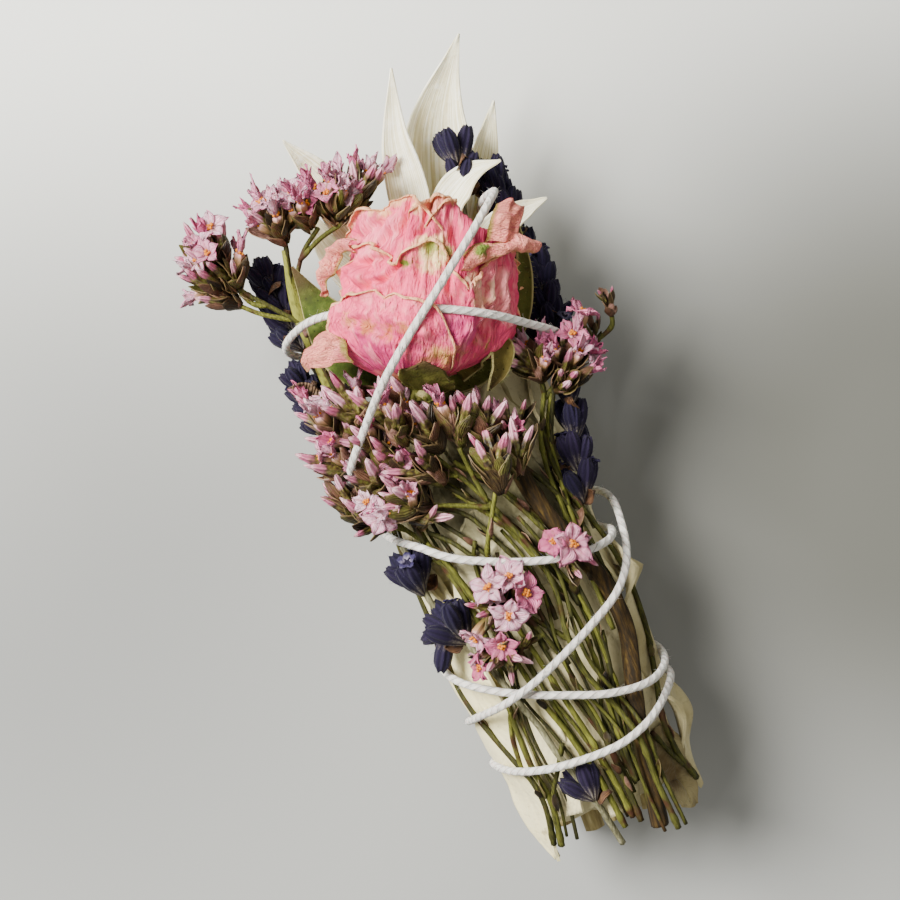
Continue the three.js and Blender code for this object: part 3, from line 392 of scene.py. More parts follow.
class Finish:
    """A material on one Principled surface, with short ways to build its colour and relief. Sizes are in
    millimetres."""

    def __init__(self, name, **sockets):
        self.material = bpy.data.materials.new(name)
        self.material.use_nodes = True
        self.tree = self.material.node_tree
        self.surface = self.tree.nodes["Principled BSDF"]
        for socket, value in sockets.items():
            self.surface.inputs[socket.replace("_", " ")].default_value = value

    def add(self, kind, inputs, output=0, **settings):
        """The output of a new node with these settings, its inputs given as values or as fields."""
        node = self.tree.nodes.new("ShaderNode" + kind)
        for key, value in settings.items():
            setattr(node, key, value)
        for key, value in inputs.items():
            if isinstance(value, Field):
                self.tree.links.new(value.socket, node.inputs[key])
            else:
                node.inputs[key].default_value = value
        return Field(self, node.outputs[output])

    def where(self, stretch=(1, 1, 1)):
        """The object's own coordinates in millimetres, divided by `stretch`."""
        at = self.add("TexCoord", {}, "Object")
        return self.add("Mapping", {"Vector": at, "Scale": [1 / (MM * s) for s in stretch]})

    def distance(self, place):
        """How far a point lies from a place given in millimetres."""
        return self.add("VectorMath", {0: self.where(), 1: place}, "Value", operation="DISTANCE")

    def place(self, axis):
        """How far round (0) or along (1) its body a point lies."""
        uv = self.add("UVMap", {}, uv_map="place")
        return self.add("SeparateXYZ", {0: uv}, axis)

    def from_middle(self):
        """How far a point lies from the line down its body's middle, 0.5 at the edge."""
        return abs(self.place(0) - 0.5)

    def tone(self):
        """The body's own tone."""
        return self.add("Attribute", {}, "Fac", attribute_name="tone")

    def on_body(self, around, along, own):
        """Coordinates for a pattern that follows its body: its place and tone, scaled by these."""
        inputs = {0: self.place(0) * around, 1: self.place(1) * along, 2: self.tone() * own}
        return self.add("CombineXYZ", inputs)

    def noise(self, size, detail=3, rough=0.5, stretch=(1, 1, 1), at=None):
        """Soft noise between 0 and 1 with features of this size."""
        at = self.where(stretch) if at is None else at
        return self.add(
            "TexNoise", {"Vector": at, "Scale": 1 / size, "Detail": detail, "Roughness": rough}, "Fac"
        )

    def band(self, value, low, high):
        """0 below `low`, 1 above `high`, smooth between; the other way round where low is above high."""
        inputs = {"Value": value, "From Min": low, "From Max": high}
        return self.add("MapRange", inputs, interpolation_type="SMOOTHSTEP")

    def mix(self, share, a, b):
        """From one colour to another, each a code or a field, by the share."""
        a, b = (colour(c) if isinstance(c, str) else c for c in (a, b))
        return self.add("Mix", {0: share, 6: a, 7: b}, 2, data_type="RGBA")

    def ramp(self, value, *stops):
        """Colours that change with the value, given as (value, code) stops."""
        node = self.tree.nodes.new("ShaderNodeValToRGB")
        while len(node.color_ramp.elements) < len(stops):
            node.color_ramp.elements.new(0.5)
        for element, (place, code) in zip(node.color_ramp.elements, stops):
            element.position = place
            element.color = colour(code)
        self.tree.links.new(value.socket, node.inputs[0])
        return Field(self, node.outputs[0])

    def tint(self, code, value, low, high, share=1.0):
        """Turns the base colour to another, by `share` at most, as the value goes from `low` to `high`."""
        self.base = self.mix(self.band(value, low, high) * share, self.base, code)

    def stain_and_painted_light(self, code, place, reach, share=1.0):
        """Turns the base colour towards another round a place, up to about `reach` from it, with a ragged
        border. It paints real stains, and also patches of painted light and shade."""
        ragged = self.noise(0.5 * reach, 4, 0.6) * (1.6 * reach)
        self.tint(code, self.distance(place) + (ragged - 0.8 * reach), reach, 0.35 * reach, share)

    def coat(self, *heights):
        """Gives the surface its base colour, and its relief from (height, depth in millimetres) pairs."""
        self.tree.links.new(self.base.socket, self.surface.inputs["Base Color"])
        below = {}
        for height, depth in heights:
            normal = self.add(
                "Bump", {"Height": height, "Distance": depth * MM, "Strength": 1.0, **below}, "Normal"
            )
            below = {"Normal": normal}
        for normal in below.values():
            self.tree.links.new(normal.socket, self.surface.inputs["Normal"])


def knot_turns():
    """A small overhand knot: a trefoil's three loops, drawn tight, at the string's two ends."""
    t = np.linspace(0, 2 * math.pi, 90)
    loop = np.stack([np.sin(t) + 2 * np.sin(2 * t), np.cos(t) - 2 * np.cos(2 * t), -np.sin(3 * t)], -1)
    return KNOT + loop * [0.5, 0.55, 0.42] + [0, 0, 0.25]


cotton = Finish(
    "white_cotton",
    Roughness=0.95,
    Sheen_Weight=0.3,
    Sheen_Roughness=0.6,
    Subsurface_Weight=0.1,
    Subsurface_Scale=0.3 * MM,
)
strand = cotton.place(0) * STRANDS + cotton.place(1) * (-STRANDS / STRING_TWIST)
lay = abs((strand * math.pi).sine())
along_strand = cotton.add("CombineXYZ", {0: strand * 4.0, 1: cotton.place(1) * 0.35, 2: 0.0})
threads = cotton.noise(0.5, 3, 0.6, at=along_strand)
cotton.base = cotton.mix(cotton.noise(2.5), "d8d2c8", "e8e4dc")
# painted shade: grey in the grooves between the twisted strands
cotton.tint("a8a296", lay, 0.4, 0.0)
cotton.coat((lay, 0.18), (threads, 0.26), (cotton.noise(0.25, 2), 0.06))

string_path = smooth_path(STRING_ROUTE, 0.5)
middle, _, _, height = section_at(string_path[:, 1])
string_out = string_path - np.stack([middle, string_path[:, 1], height], -1)


def twisted(a, way):
    """Three round strands side by side: the radius swells three times round, and the swelling turns along
    the way."""
    return 0.93 + 0.08 * np.abs(np.cos(0.5 * STRANDS * (a - 2 * math.pi * way / STRING_TWIST)))


def bristles(lines, side, other, thick):
    """Three-sided hairs round lines (hair, step, xyz), as thick as listed for each step: a ring of three
    points on the two directions square to each hair."""
    a = 2 * math.pi * np.arange(3) / 3
    ring = np.cos(a)[:, None] * side[:, None] + np.sin(a)[:, None] * other[:, None]
    return lines[:, :, None] + np.asarray(thick)[:, None, None] * ring[:, None]


def fibres(path, count, seed):
    """Loose cotton fibres: short hairs that lift off the string's skin and trail along it, either way, with
    a sway that grows with the square of the share of their length."""
    draw = np.random.default_rng(seed)
    row = draw.integers(3, len(path) - 4, count)
    ahead = unit(path[row + 2] - path[row - 2])
    side = unit(np.cross(ahead, unit(draw.normal(size=(count, 3)))))
    sway = unit(draw.normal(size=(count, 3)))[:, None]
    reach = draw.uniform(0.5, 1.5, (count, 1))[:, None]
    way = (0.6 * ahead * np.sign(draw.normal(size=(count, 1))) + 0.3 * side)[:, None]
    v = np.linspace(0, 1, 3)[None, :, None]
    start = (path[row] + 0.8 * STRING_RADIUS * side)[:, None]
    lines = start + v * reach * way + v**2 * reach * 0.35 * sway
    lines[..., 2] = np.maximum(lines[..., 2], 0.05)
    return ring_body(bristles(lines, side, np.cross(ahead, side), [0.028, 0.022, 0.008]), 0.5)


knot_path = smooth_path(knot_turns(), 0.35)
make_piece(
    "cotton_string",
    [
        (tube(string_path, 0.92 * STRING_RADIUS, 10, string_out, section=twisted), cotton),
        (tube(knot_path, 0.62 * STRING_RADIUS, 10, (0.2, 0.1, 1), section=twisted), cotton),
        (fibres(string_path, STRING_FIBRES, 3), cotton),
    ],
    "string",
    "string",
)

string_steps = string_path[::3]
string_turn = np.arctan2(string_out[::3, 0], string_out[::3, 2])
string_reach = np.hypot(string_out[::3, 0], string_out[::3, 2])


UNDER = (-1, np.minimum, np.inf)
OVER = (1, np.maximum, 0)
AT_ONCE = 8000  # points looked at together, to spare memory


def clear_of_string(
    points, slope=0.5, clear=STRING_CLEAR, passes=slice(None), still=0.3, far=7, side=UNDER
):
    """Points moved in to the bundle's middle line, or out from it, until they clear the string's given
    passes. Under the string a point stays `clear` inside its inner side, plus `slope` times what its
    distance sideways is over `still`. Over it, it stays `clear` outside its outer side, less the same. Past
    `far` it isn't moved."""
    sign, nearer, free = side
    flat = points.reshape(-1, 3).copy()
    middle, _, _, height = section_at(flat[:, 1])
    dx, dz = flat[:, 0] - middle, flat[:, 2] - height
    reach, turn = np.hypot(dx, dz), np.arctan2(dx, dz)
    stops = (string_steps[:, 1], string_turn, string_reach)
    stop_y, stop_turn, stop_reach = (values[passes][None] for values in stops)
    limit = np.empty(len(flat))
    for start in range(0, len(flat), AT_ONCE):
        part = slice(start, start + AT_ONCE)
        gap = (turn[part, None] - stop_turn + math.pi) % (2 * math.pi) - math.pi
        sideways = np.hypot(gap * stop_reach, flat[part, 1, None] - stop_y)
        slack = slope * np.maximum(0, sideways - still)
        bound = stop_reach + sign * STRING_RADIUS + sign * clear - sign * slack
        bound[sideways > far] = free
        limit[part] = nearer.reduce(bound, axis=1)
    share = nearer(1, limit / np.maximum(reach, 1e-6))
    flat[:, 0], flat[:, 2] = middle + dx * share, height + dz * share
    return flat.reshape(points.shape)


# Sage bundle.
# Cream-white felted leaves of white sage, rolled round one another and pressed. The inner ones show only as
# layers at the ends, with their cut stalks among them. The outer ones lap over one another all round, and
# the string dents them.
LEAF_THICKNESS = 0.5
ROLL_TURNS = 5.0
ROLL_FOOT, ROLL_TOP = -53.0, 37.0
STALKS = [
    # middle x, height, radius, y of the cut end
    (-6, 6, 1.3, -56.5),
    (-2, 11, 1.5, -57.5),
    (3, 6, 1.2, -55.5),
    (7, 12, 1.4, -57),
    (1, 17, 1.2, -55.8),
]
WRAPPED_LEAVES = 40
GOLDEN_ANGLE = 137.5


def eased(values, share):
    """A smooth line through values listed at even steps: cubic pieces that keep each value's mean slope."""
    values = np.asarray(values, float)
    slopes = np.gradient(values, axis=0)
    place = np.clip(share, 0, 1) * (len(values) - 1)
    k = np.minimum(len(values) - 2, place.astype(int))
    t = place - k
    if values.ndim > 1:
        t = t[..., None]
    start = (2 * t**3 - 3 * t**2 + 1) * values[k] + (t**3 - 2 * t**2 + t) * slopes[k]
    return start + (3 * t**2 - 2 * t**3) * values[k + 1] + (t**3 - t**2) * slopes[k + 1]


def sheet(grid, thickness, tone=0.5):
    """Thin closed sheets over grids of middle points (body, row, place across, xyz): each side stands half
    the thickness off along the grid's normal, and a flat rim joins the two."""
    grid = np.asarray(grid, float)
    grid = grid.reshape((-1,) + grid.shape[-3:])
    count, rows, cols, _ = grid.shape
    out = unit(np.cross(np.gradient(grid, axis=2), np.gradient(grid, axis=1)))
    points = np.stack([grid + 0.5 * thickness * out, grid - 0.5 * thickness * out], 1).reshape(-1, 3)
    a = np.arange(rows * cols).reshape(rows, cols)
    b = a + rows * cols

    def quads(*corners):
        """Four-cornered faces from the point numbers of their corners."""
        return np.stack(corners, -1).reshape(-1, 4)

    sides = np.concatenate(
        [
            quads(a[:-1, :-1], a[:-1, 1:], a[1:, 1:], a[1:, :-1]),
            quads(b[:-1, :-1], b[1:, :-1], b[1:, 1:], b[:-1, 1:]),
        ]
    )
    rims = np.concatenate(
        [
            quads(a[:-1, 0], a[1:, 0], b[1:, 0], b[:-1, 0]),
            quads(a[1:, -1], a[:-1, -1], b[:-1, -1], b[1:, -1]),
            quads(a[0, 1:], a[0, :-1], b[0, :-1], b[0, 1:]),
            quads(a[-1, :-1], a[-1, 1:], b[-1, 1:], b[-1, :-1]),
        ]
    )
    u, v = np.meshgrid(np.linspace(0, 1, cols), np.linspace(0, 1, rows))
    place = np.tile(np.stack([u.ravel(), v.ravel()], -1), (2, 1))
    return closed_part(
        points, 2 * rows * cols, count, [(sides, place[sides], False), (rims, place[rims], True)], tone
    )


def hugging_leaf(line, widths, lift, seed, curl=0.7, rows=30, cols=13):
    """A leaf laid on the bundle, u from -1 to 1 across it and v from root to tip. Its angle is its line's,
    plus u times its half width over the oval's. Its lift is the given one with a sunk midrib, soft folds,
    and edges that curl with u to the fourth."""
    u, v = np.meshgrid(np.linspace(-1, 1, cols), np.linspace(0, 1, rows))
    angle, y = np.moveaxis(eased(line, v), -1, 0)
    ragged = 1 + 0.06 * waves(np.stack([u * 2, v * 30, 0 * u], -1), 5, seed)
    reach = np.maximum(0.15, eased(widths, v)) * ragged
    _, half_width, _, _ = section_at(y)
    spot = np.stack([u * 5, v * 40, 0 * u + seed], -1)
    height = lift + 0.32 * waves(spot, 10, seed) + 0.06 * waves(spot, 4, seed + 1) * (0.3 + u**2)
    curled = curl * u**4 * (0.5 + waves(spot[..., 1:2] * [1, 0, 0], 14, seed + 2))
    height = height - 0.28 * np.exp(-((u / 0.08) ** 2)) + curled
    side = angle + np.degrees(u * reach / (half_width + lift))
    grid = on_bundle(side, y + 0.5 * waves(spot, 8, seed + 3) * v, height)
    grid = clear_of_string(grid)
    grid[..., 2] = np.maximum(grid[..., 2], 0.5 * LEAF_THICKNESS + 0.02)
    return grid


felt = Finish(
    "sage_felt",
    Roughness=0.9,
    Specular_IOR_Level=0.2,
    Sheen_Weight=0.1,
    Subsurface_Weight=0.1,
    Subsurface_Radius=(1.0, 0.8, 0.5),
    Subsurface_Scale=0.6 * MM,
)
rugose = felt.noise(0.7, 2, 0.5)
down = felt.noise(0.14, 2, 0.6)
side_veins = ((felt.place(1) - felt.from_middle() * 0.35) * 130.0).sine()
felt.base = felt.ramp(
    felt.noise(7, 3) * 0.8 + felt.tone() * 0.5,
    (0.08, "5e4e30"),
    (0.28, "9c9066"),
    (0.5, "c4b98e"),
    (0.75, "dbd1a6"),
    (1.0, "e6dba8"),
)
# painted shade: a greyer olive in the hollows of the crinkled felt
felt.tint("75704f", rugose, 0.45, 0.2, 0.3)
felt.tint("6f5a34", felt.noise(3.5, 4, 0.6), 0.62, 0.75, 0.6)
# painted shade: a dark olive patch in the middle of the bundle, under the flower heads, with some brown of
# crushed leaves in it
felt.stain_and_painted_light("3d3a20", (2, -4, 22), 15.0, 0.85)
felt.coat((rugose, 0.09), (side_veins, 0.018), (down, 0.04))

leaf_turn = GOLDEN_ANGLE * np.arange(WRAPPED_LEAVES)
wrapped = []
for k in range(WRAPPED_LEAVES):
    root = rng.uniform(-51, -8) if k % 3 else rng.uniform(-4, 10)
    length = rng.uniform(26, 40) if k % 3 else rng.uniform(22, 30)
    tip = min(root + length, 40 + rng.uniform(-2, 1))
    if k % 4 == 1 and root < -25:
        root, tip = tip, -53.5 + rng.uniform(-1.5, 1.5)
    drift = rng.uniform(-22, 22)
    half = rng.uniform(4.6, 6.4) * (0.72 if max(root, tip) > 30 else 1)
    turn = leaf_turn[k]
    line = [(turn, root), (turn + 0.4 * drift, 0.5 * (root + tip)), (turn + drift, tip)]
    widths = half * np.array([0.35, 0.8, 1.0, 1.0, 0.85, 0.55, 0.12])
    wrapped.append(hugging_leaf(line, widths, rng.uniform(-0.9, 0.5), 100 + k, curl=rng.uniform(0.2, 0.9)))

t, v = np.meshgrid(np.linspace(0, 1, 190), np.linspace(0, 1, 18))
foot = ROLL_FOOT + 1.3 * waves(np.stack([t * 60, 0 * t, 0 * t], -1), 6, 11)
top = ROLL_TOP - 5 * t + 1.5 * waves(np.stack([t * 50, 0 * t, 0 * t], -1), 7, 12)
roll_y = foot + (top - foot) * v
roll = on_bundle(360 * ROLL_TURNS * t + 60, roll_y, 0)
middle, _, _, height = section_at(roll_y)
share = (0.12 + 0.8 * t) * (1 + 0.03 * waves(roll, 7, 13))
roll_x = middle + (roll[..., 0] - middle) * share
roll_z = height + (roll[..., 2] - height) * share
roll = clear_of_string(np.stack([roll_x, roll_y, roll_z], -1), clear=0.9)
roll[..., 2] = np.maximum(roll[..., 2], 0.8)

stalk_finish = Finish("cut_stalk", Roughness=0.8)
stalk_grain = stalk_finish.noise(0.7, 3, stretch=(1, 6, 1))
stalk_finish.base = stalk_finish.ramp(stalk_grain, (0.3, "6d5c36"), (0.6, "a2925f"), (0.8, "c8bb8c"))
stalk_finish.coat((stalk_finish.noise(0.35, 3, stretch=(1, 8, 1)), 0.12))


def ribbed(a, way):
    """A stalk's section: five low ribs, and a swelling every dozen millimetres."""
    return 1 + 0.07 * np.cos(5 * a) + 0.12 * np.exp(-(((way % 12) - 6) ** 2))


stalks = []
for x, z, radius, end in STALKS:
    path = smooth_path([(x, ROLL_FOOT + 6, z), (x * 1.03, end, z * 0.97)], 0.8)
    stalks.append((tube(path, radius, 20, (0, 0, 1), section=ribbed), stalk_finish))
make_piece(
    "wrapped_sage_leaves",
    [
        (sheet(np.array(wrapped), LEAF_THICKNESS, rng.uniform(0, 1, WRAPPED_LEAVES)), felt),
        (sheet(roll, LEAF_THICKNESS, 0.4), felt),
        *stalks,
    ],
    "sage_leaf",
    "sage_bundle",
)

# Outer sage leaves.
# Ten whole leaves laid on the bundle last, so their outlines show. They are the same felted leaves, held
# only by the string, and their free edges curl.
OUTER_LEAVES = [
    # line as angle and y from root to tip, half widths along it, lift, curl of the edges, tone
    ([(-64, -12), (-60, -28), (-56, -44), (-56, -58.6)], [1.2, 5.2, 5.8, 5.6, 4.0, 0.5], 2.2, 0.3, 0.95),
    ([(-70, 14), (-76, 2), (-78, -12)], [1.5, 4.4, 4.8, 3.6, 0.6], 0.7, 0.8, 0.5),
    ([(-34, -52), (-32, -34), (-36, -14)], [2.6, 4.6, 4.8, 3.8, 0.6], 0.8, 0.4, 0.6),
    ([(2, -54), (4, -38), (3, -20)], [2.8, 4.4, 4.6, 4.0, 0.8], 0.8, 0.5, 0.3),
    ([(-14, -26), (-12, -14), (-11, -4.5)], [2.2, 4.8, 5.4, 4.6, 1.6], 1.6, 0.5, 0.7),
    ([(14, -18), (8, -2), (0, 12)], [1.4, 4.6, 5.2, 4.4, 0.8], 0.8, 0.4, 0.2),
    ([(40, -52), (42, -34), (40, -16)], [2.4, 4.4, 4.6, 3.6, 0.6], 0.8, 0.6, 0.3),
    ([(76, -16), (74, -34), (70, -56)], [1.6, 4.4, 5.0, 4.8, 3.2, 0.6], 2.0, 1.8, 0.1),
    ([(70, 16), (66, 0), (70, -12)], [1.4, 4.6, 5.0, 3.6, 0.8], 0.8, 0.7, 0.4),
    ([(46, -44), (48, -51), (50, -57.6)], [1.4, 3.4, 3.6, 3.0, 1.8], 1.7, 0.6, -0.5),
]
for k, (line, widths, lift, curl, tone) in enumerate(OUTER_LEAVES, 1):
    leaf = hugging_leaf(line, widths, lift, 200 + k, curl, rows=60, cols=25)
    make_piece(
        f"outer_sage_leaf_{k}", [(sheet(leaf, LEAF_THICKNESS, tone), felt)], "sage_leaf", f"sage_leaf_{k}"
    )

# Standing leaves.
# Seven thin papery leaves, bleached ivory, whose roots are pushed in behind the rose. They dried cupped,
# with their edges rolled a little and their veins running side by side to the tip.
STANDING_LEAVES = [
    # line from root to tip, half widths along it, the way the upper side looks, cup, twist in degrees
    (
        [(5, 30, 17.3), (8.4, 42, 17.8), (12.2, 53, 19), (19.2, 63.2, 22)],
        [1.6, 3.6, 5.0, 5.4, 5.0, 3.4, 1.6, 0.1], (0.15, -0.2, 1), 0.32, 12,
    ),
    (
        [(2, 31, 18.6), (4.0, 42, 21.2), (5.2, 52, 22.8), (7.9, 61.2, 24.6)],
        [1.2, 2.2, 2.9, 3.1, 2.7, 1.8, 0.9, 0.1], (-0.35, -0.1, 1), 0.45, -10,
    ),
    (
        [(8, 30, 15.4), (13.5, 40, 14.6), (17.4, 46.5, 15), (21.2, 53, 17)],
        [1.4, 2.6, 3.4, 3.3, 2.4, 1.3, 0.1], (0.5, -0.2, 1), 0.3, 15,
    ),
    (
        [(6.6, 36, 21.4), (9.6, 40.4, 22.4), (13.6, 42.6, 23.4), (18.4, 43, 24.6)],
        [1.4, 2.4, 2.9, 2.5, 1.5, 0.1], (0.1, 0.5, 1), 0.4, 0,
    ),
    (
        [(9.5, 31.5, 19), (13, 33.4, 20.8), (17, 34.8, 21.6), (23.2, 35.7, 22)],
        [1.2, 2.1, 2.3, 1.5, 0.1], (0.2, 0.1, 1), 0.3, 20,
    ),
    (
        [(-1, 32, 16.6), (-5, 42, 18), (-7.6, 50.4, 20.4), (-10.8, 57, 23)],
        [1.2, 2.6, 3.4, 3.2, 1.9, 0.1], (-0.1, 0.1, 1), 0.3, 0,
    ),
    (
        [(-1, 27, 14.8), (-6, 35, 14.2), (-9.6, 41, 14.4), (-11.6, 47.4, 15.6)],
        [1.6, 3.4, 4.2, 4.0, 3.0, 1.6, 0.2], (-0.2, 0.1, 1), 0.3, 0,
    ),
]


def free_leaf(line, widths, face, cup, twist, seed, rows=70, cols=21, wave=0.3):
    """A leaf that stands free, u from -1 to 1 across it and v from root to tip. A point is the line's, plus
    u times the half width to the side, raised by a cup of u squared, by edges that waver along v, and by
    low folds; the side turns by the twist towards the tip."""
    u, v = np.meshgrid(np.linspace(-1, 1, cols), np.linspace(0, 1, rows))
    path = smooth_path(line, 0.25)
    at = np.stack([np.interp(v, np.linspace(0, 1, len(path)), path[:, k]) for k in range(3)], -1)
    ahead = unit(np.gradient(at, axis=0))
    side = unit(np.cross(ahead, face))
    out = np.cross(side, ahead)
    turn = np.radians(twist) * (v**2)[..., None]
    side, out = side * np.cos(turn) + out * np.sin(turn), out * np.cos(turn) - side * np.sin(turn)
    reach = np.maximum(0.04, eased(widths, v))
    spot = np.stack([u * 3, v * 30, 0 * u + seed], -1)
    edge = wave * waves(spot[..., 1:2] * [1, 0, 0] + [0, 0, 5.0 * seed], 11, seed)
    edge = edge * np.abs(u) ** 3 * np.minimum(1, reach / 2)
    height = cup * reach * (u * u - 0.4) + edge * np.sign(u + 0.2) + 0.12 * waves(spot, 6, seed + 1)
    return at + side * (u * reach)[..., None] + out * height[..., None]


ivory = Finish(
    "papery_ivory",
    Roughness=0.6,
    Subsurface_Weight=0.2,
    Subsurface_Radius=(1.0, 0.8, 0.5),
    Subsurface_Scale=0.7 * MM,
)
veins = ivory.noise(0.028, 3, 0.6, at=ivory.on_body(1, 0.06, 1))
crease = ivory.noise(1.6, 3, 0.5)
ivory.base = ivory.mix(ivory.band(veins, 0.35, 0.65), "d6cca2", "fdf8e2")
ivory.tint("f8f6ee", crease, 0.55, 0.75, 0.35)
ivory.tint("8f8457", ivory.place(1), 0.45, 0.05, 0.55)
ivory.coat((veins, 0.09), (crease, 0.22))
for k, (line, widths, face, cup, twist) in enumerate(STANDING_LEAVES, 1):
    leaf = free_leaf(line, widths, face, cup, twist, 300 + k)
    make_piece(
        f"standing_leaf_{k}", [(sheet(leaf, 0.22, 0.1 * k), ivory)], "sage_leaf", f"sage_tip_leaf_{k}"
    )

# Statice.
# Eight sprays of dried pink statice, laid head up on the leaves. Each is a stiff ridged stem that forks
# into heads of papery florets: a ribbed cup that opens into five pointed petals round orange anthers, buds
# that stay furled, and dry bracts at the foot.
STEM_RADIUS = 0.43
STAR_LENGTH = 4.4  # from a floret's foot to the middle of its open face
STAR_REACH = 2.75  # from there to a petal's tip
BUD_LENGTH = 6.6
ANTHERS = 7
FULL_TURN = 6.3  # radians, for spins drawn at random
TWIG_RADIUS = 0.3
LOW, HIGH, TOP = 2.8, 4.4, 6.2  # lift of a stem on the leaves, over another stem, over the rose's stem


def lay_on(lift, *places):
    """The points over the bundle at these places, at one lift."""
    return [tuple(over(x, y, lift)) for x, y in places]


def fan(axis, count, spread):
    """Directions fanned round an axis: the k-th leans by the spread times the root of (k + 0.5) / count,
    and turns by the golden angle."""
    w = unit(axis)
    first = unit(np.cross((0, 0, 1) if abs(w[2]) < 0.9 else (1, 0, 0), w))
    second = np.cross(w, first)
    k = np.arange(count)
    tilt = np.radians(spread) * np.sqrt((k + 0.5) / max(count, 1))
    turn = np.radians(GOLDEN_ANGLE) * k
    return (
        np.cos(tilt)[:, None] * w
        + (np.sin(tilt) * np.cos(turn))[:, None] * first
        + (np.sin(tilt) * np.sin(turn))[:, None] * second
    )


def stand(shape, feet, directions, spins, sizes):
    """Copies of shapes modelled along +Z, one for all or one for each: each is scaled, spun about +Z,
    turned so that +Z is its direction, and put on its foot."""
    feet, w = np.asarray(feet, float), unit(directions)
    away = np.where(np.abs(w[:, 2:]) < 0.9, [[0.0, 0.0, 1.0]], [[1.0, 0.0, 0.0]])
    first = unit(np.cross(away, w))
    second = np.cross(w, first)
    c, s = np.cos(spins)[:, None], np.sin(spins)[:, None]
    first, second = c * first + s * second, c * second - s * first
    lift = (len(feet),) + (1,) * (shape.ndim - 2) + (3,)
    size = np.asarray(sizes).reshape(lift[:-1] + (1,))
    first, second, w, feet = (a.reshape(lift) for a in (first, second, w, feet))
    return (shape[..., :1] * first + shape[..., 1:2] * second + shape[..., 2:] * w) * size + feet


def lathe(radii, heights, sides, lobes=0, depth=0.0, twist=0.0):
    """Rings round +Z at the heights, whose radius swells `lobes` times round by the share `depth` and turns
    by `twist` radians from foot to top."""
    a = 2 * math.pi * np.arange(sides) / sides
    v = np.linspace(0, 1, len(radii))
    r = np.asarray(radii)[:, None] * (1 + depth * np.cos(lobes * (a[None] + twist * v[:, None])))
    z = np.broadcast_to(np.asarray(heights)[:, None], r.shape)
    return np.stack([r * np.cos(a), r * np.sin(a), z], -1)


def star_petals(count, draw, opened, rows=7, cols=5):
    """Five petals to each star. Along a petal, v runs from the cup's mouth out to the tip: the way out
    grows with v, the rise eases off as it opens, and the half width swells and then closes. It is creased
    down its middle, and dried crumpled, its edge ragged."""
    u, v = np.meshgrid(np.linspace(-1, 1, cols), np.linspace(0, 1, rows))
    shut = 1 - opened[:, None, None, None]

    def each(low, high):
        """A number drawn for each petal."""
        return draw.uniform(low, high, (count, 5, 1, 1))

    tip = STAR_REACH * (1 - 0.72 * shut) * each(0.86, 1.1)
    way = 0.3 + (tip - 0.3) * v**1.1
    rise = STAR_LENGTH - 0.9 + (1.3 + 2.2 * shut) * v ** (0.95 - 0.2 * shut) * each(0.55, 1.3)
    width = eased([0.25, 0.6, 0.98, 1.18, 1.06, 0.66, 0.14], v) * (1 - 0.5 * shut) * each(0.7, 1.2)
    crease = (0.28 + 0.3 * shut) * np.abs(u) * width
    crumple = 0.34 * np.sin(4.5 * u + 5 * v + each(0, FULL_TURN)) * v
    crumple = crumple + 0.2 * np.sin(8 * u - 9 * v + each(0, FULL_TURN)) * v
    ragged = 0.22 * np.sin(7 * u + each(0, FULL_TURN)) * v**3
    droop = -1.1 * each(0, 1) * (1 - shut) * v**3
    rise = rise + crease * (1 - shut) + crumple + droop
    flat = np.stack([way - crease * shut + ragged, u * width, rise], -1)
    turn = 2 * math.pi * np.arange(5)[None, :, None, None] / 5 + each(-0.12, 0.12)
    c, s = np.cos(turn), np.sin(turn)
    x = flat[..., 0] * c - flat[..., 1] * s
    y = flat[..., 0] * s + flat[..., 1] * c
    return np.stack([x, y, flat[..., 2]], -1)


def husk_scales(count, draw):
    """Dry bracts: little boats, u across and v along, wrapped a third of the way round their floret and
    pointed."""
    u, v = np.meshgrid(np.linspace(-1, 1, 5), np.linspace(0, 1, 6))

    def each(low, high):
        """A number drawn for each bract."""
        return draw.uniform(low, high, (count, 1, 1))

    width = eased([0.6, 1.1, 1.25, 1.0, 0.6, 0.06], v)
    away = 0.75 + 0.55 * np.sin(2.5 * v) * each(0.5, 1.2) + 0.3 * each(0, 1) * v**3
    around = u * width * each(0.75, 1.1)
    length = each(3.2, 5.2)
    return np.stack([away * np.cos(around), away * np.sin(around), v * length - 0.5 + 0 * around], -1)


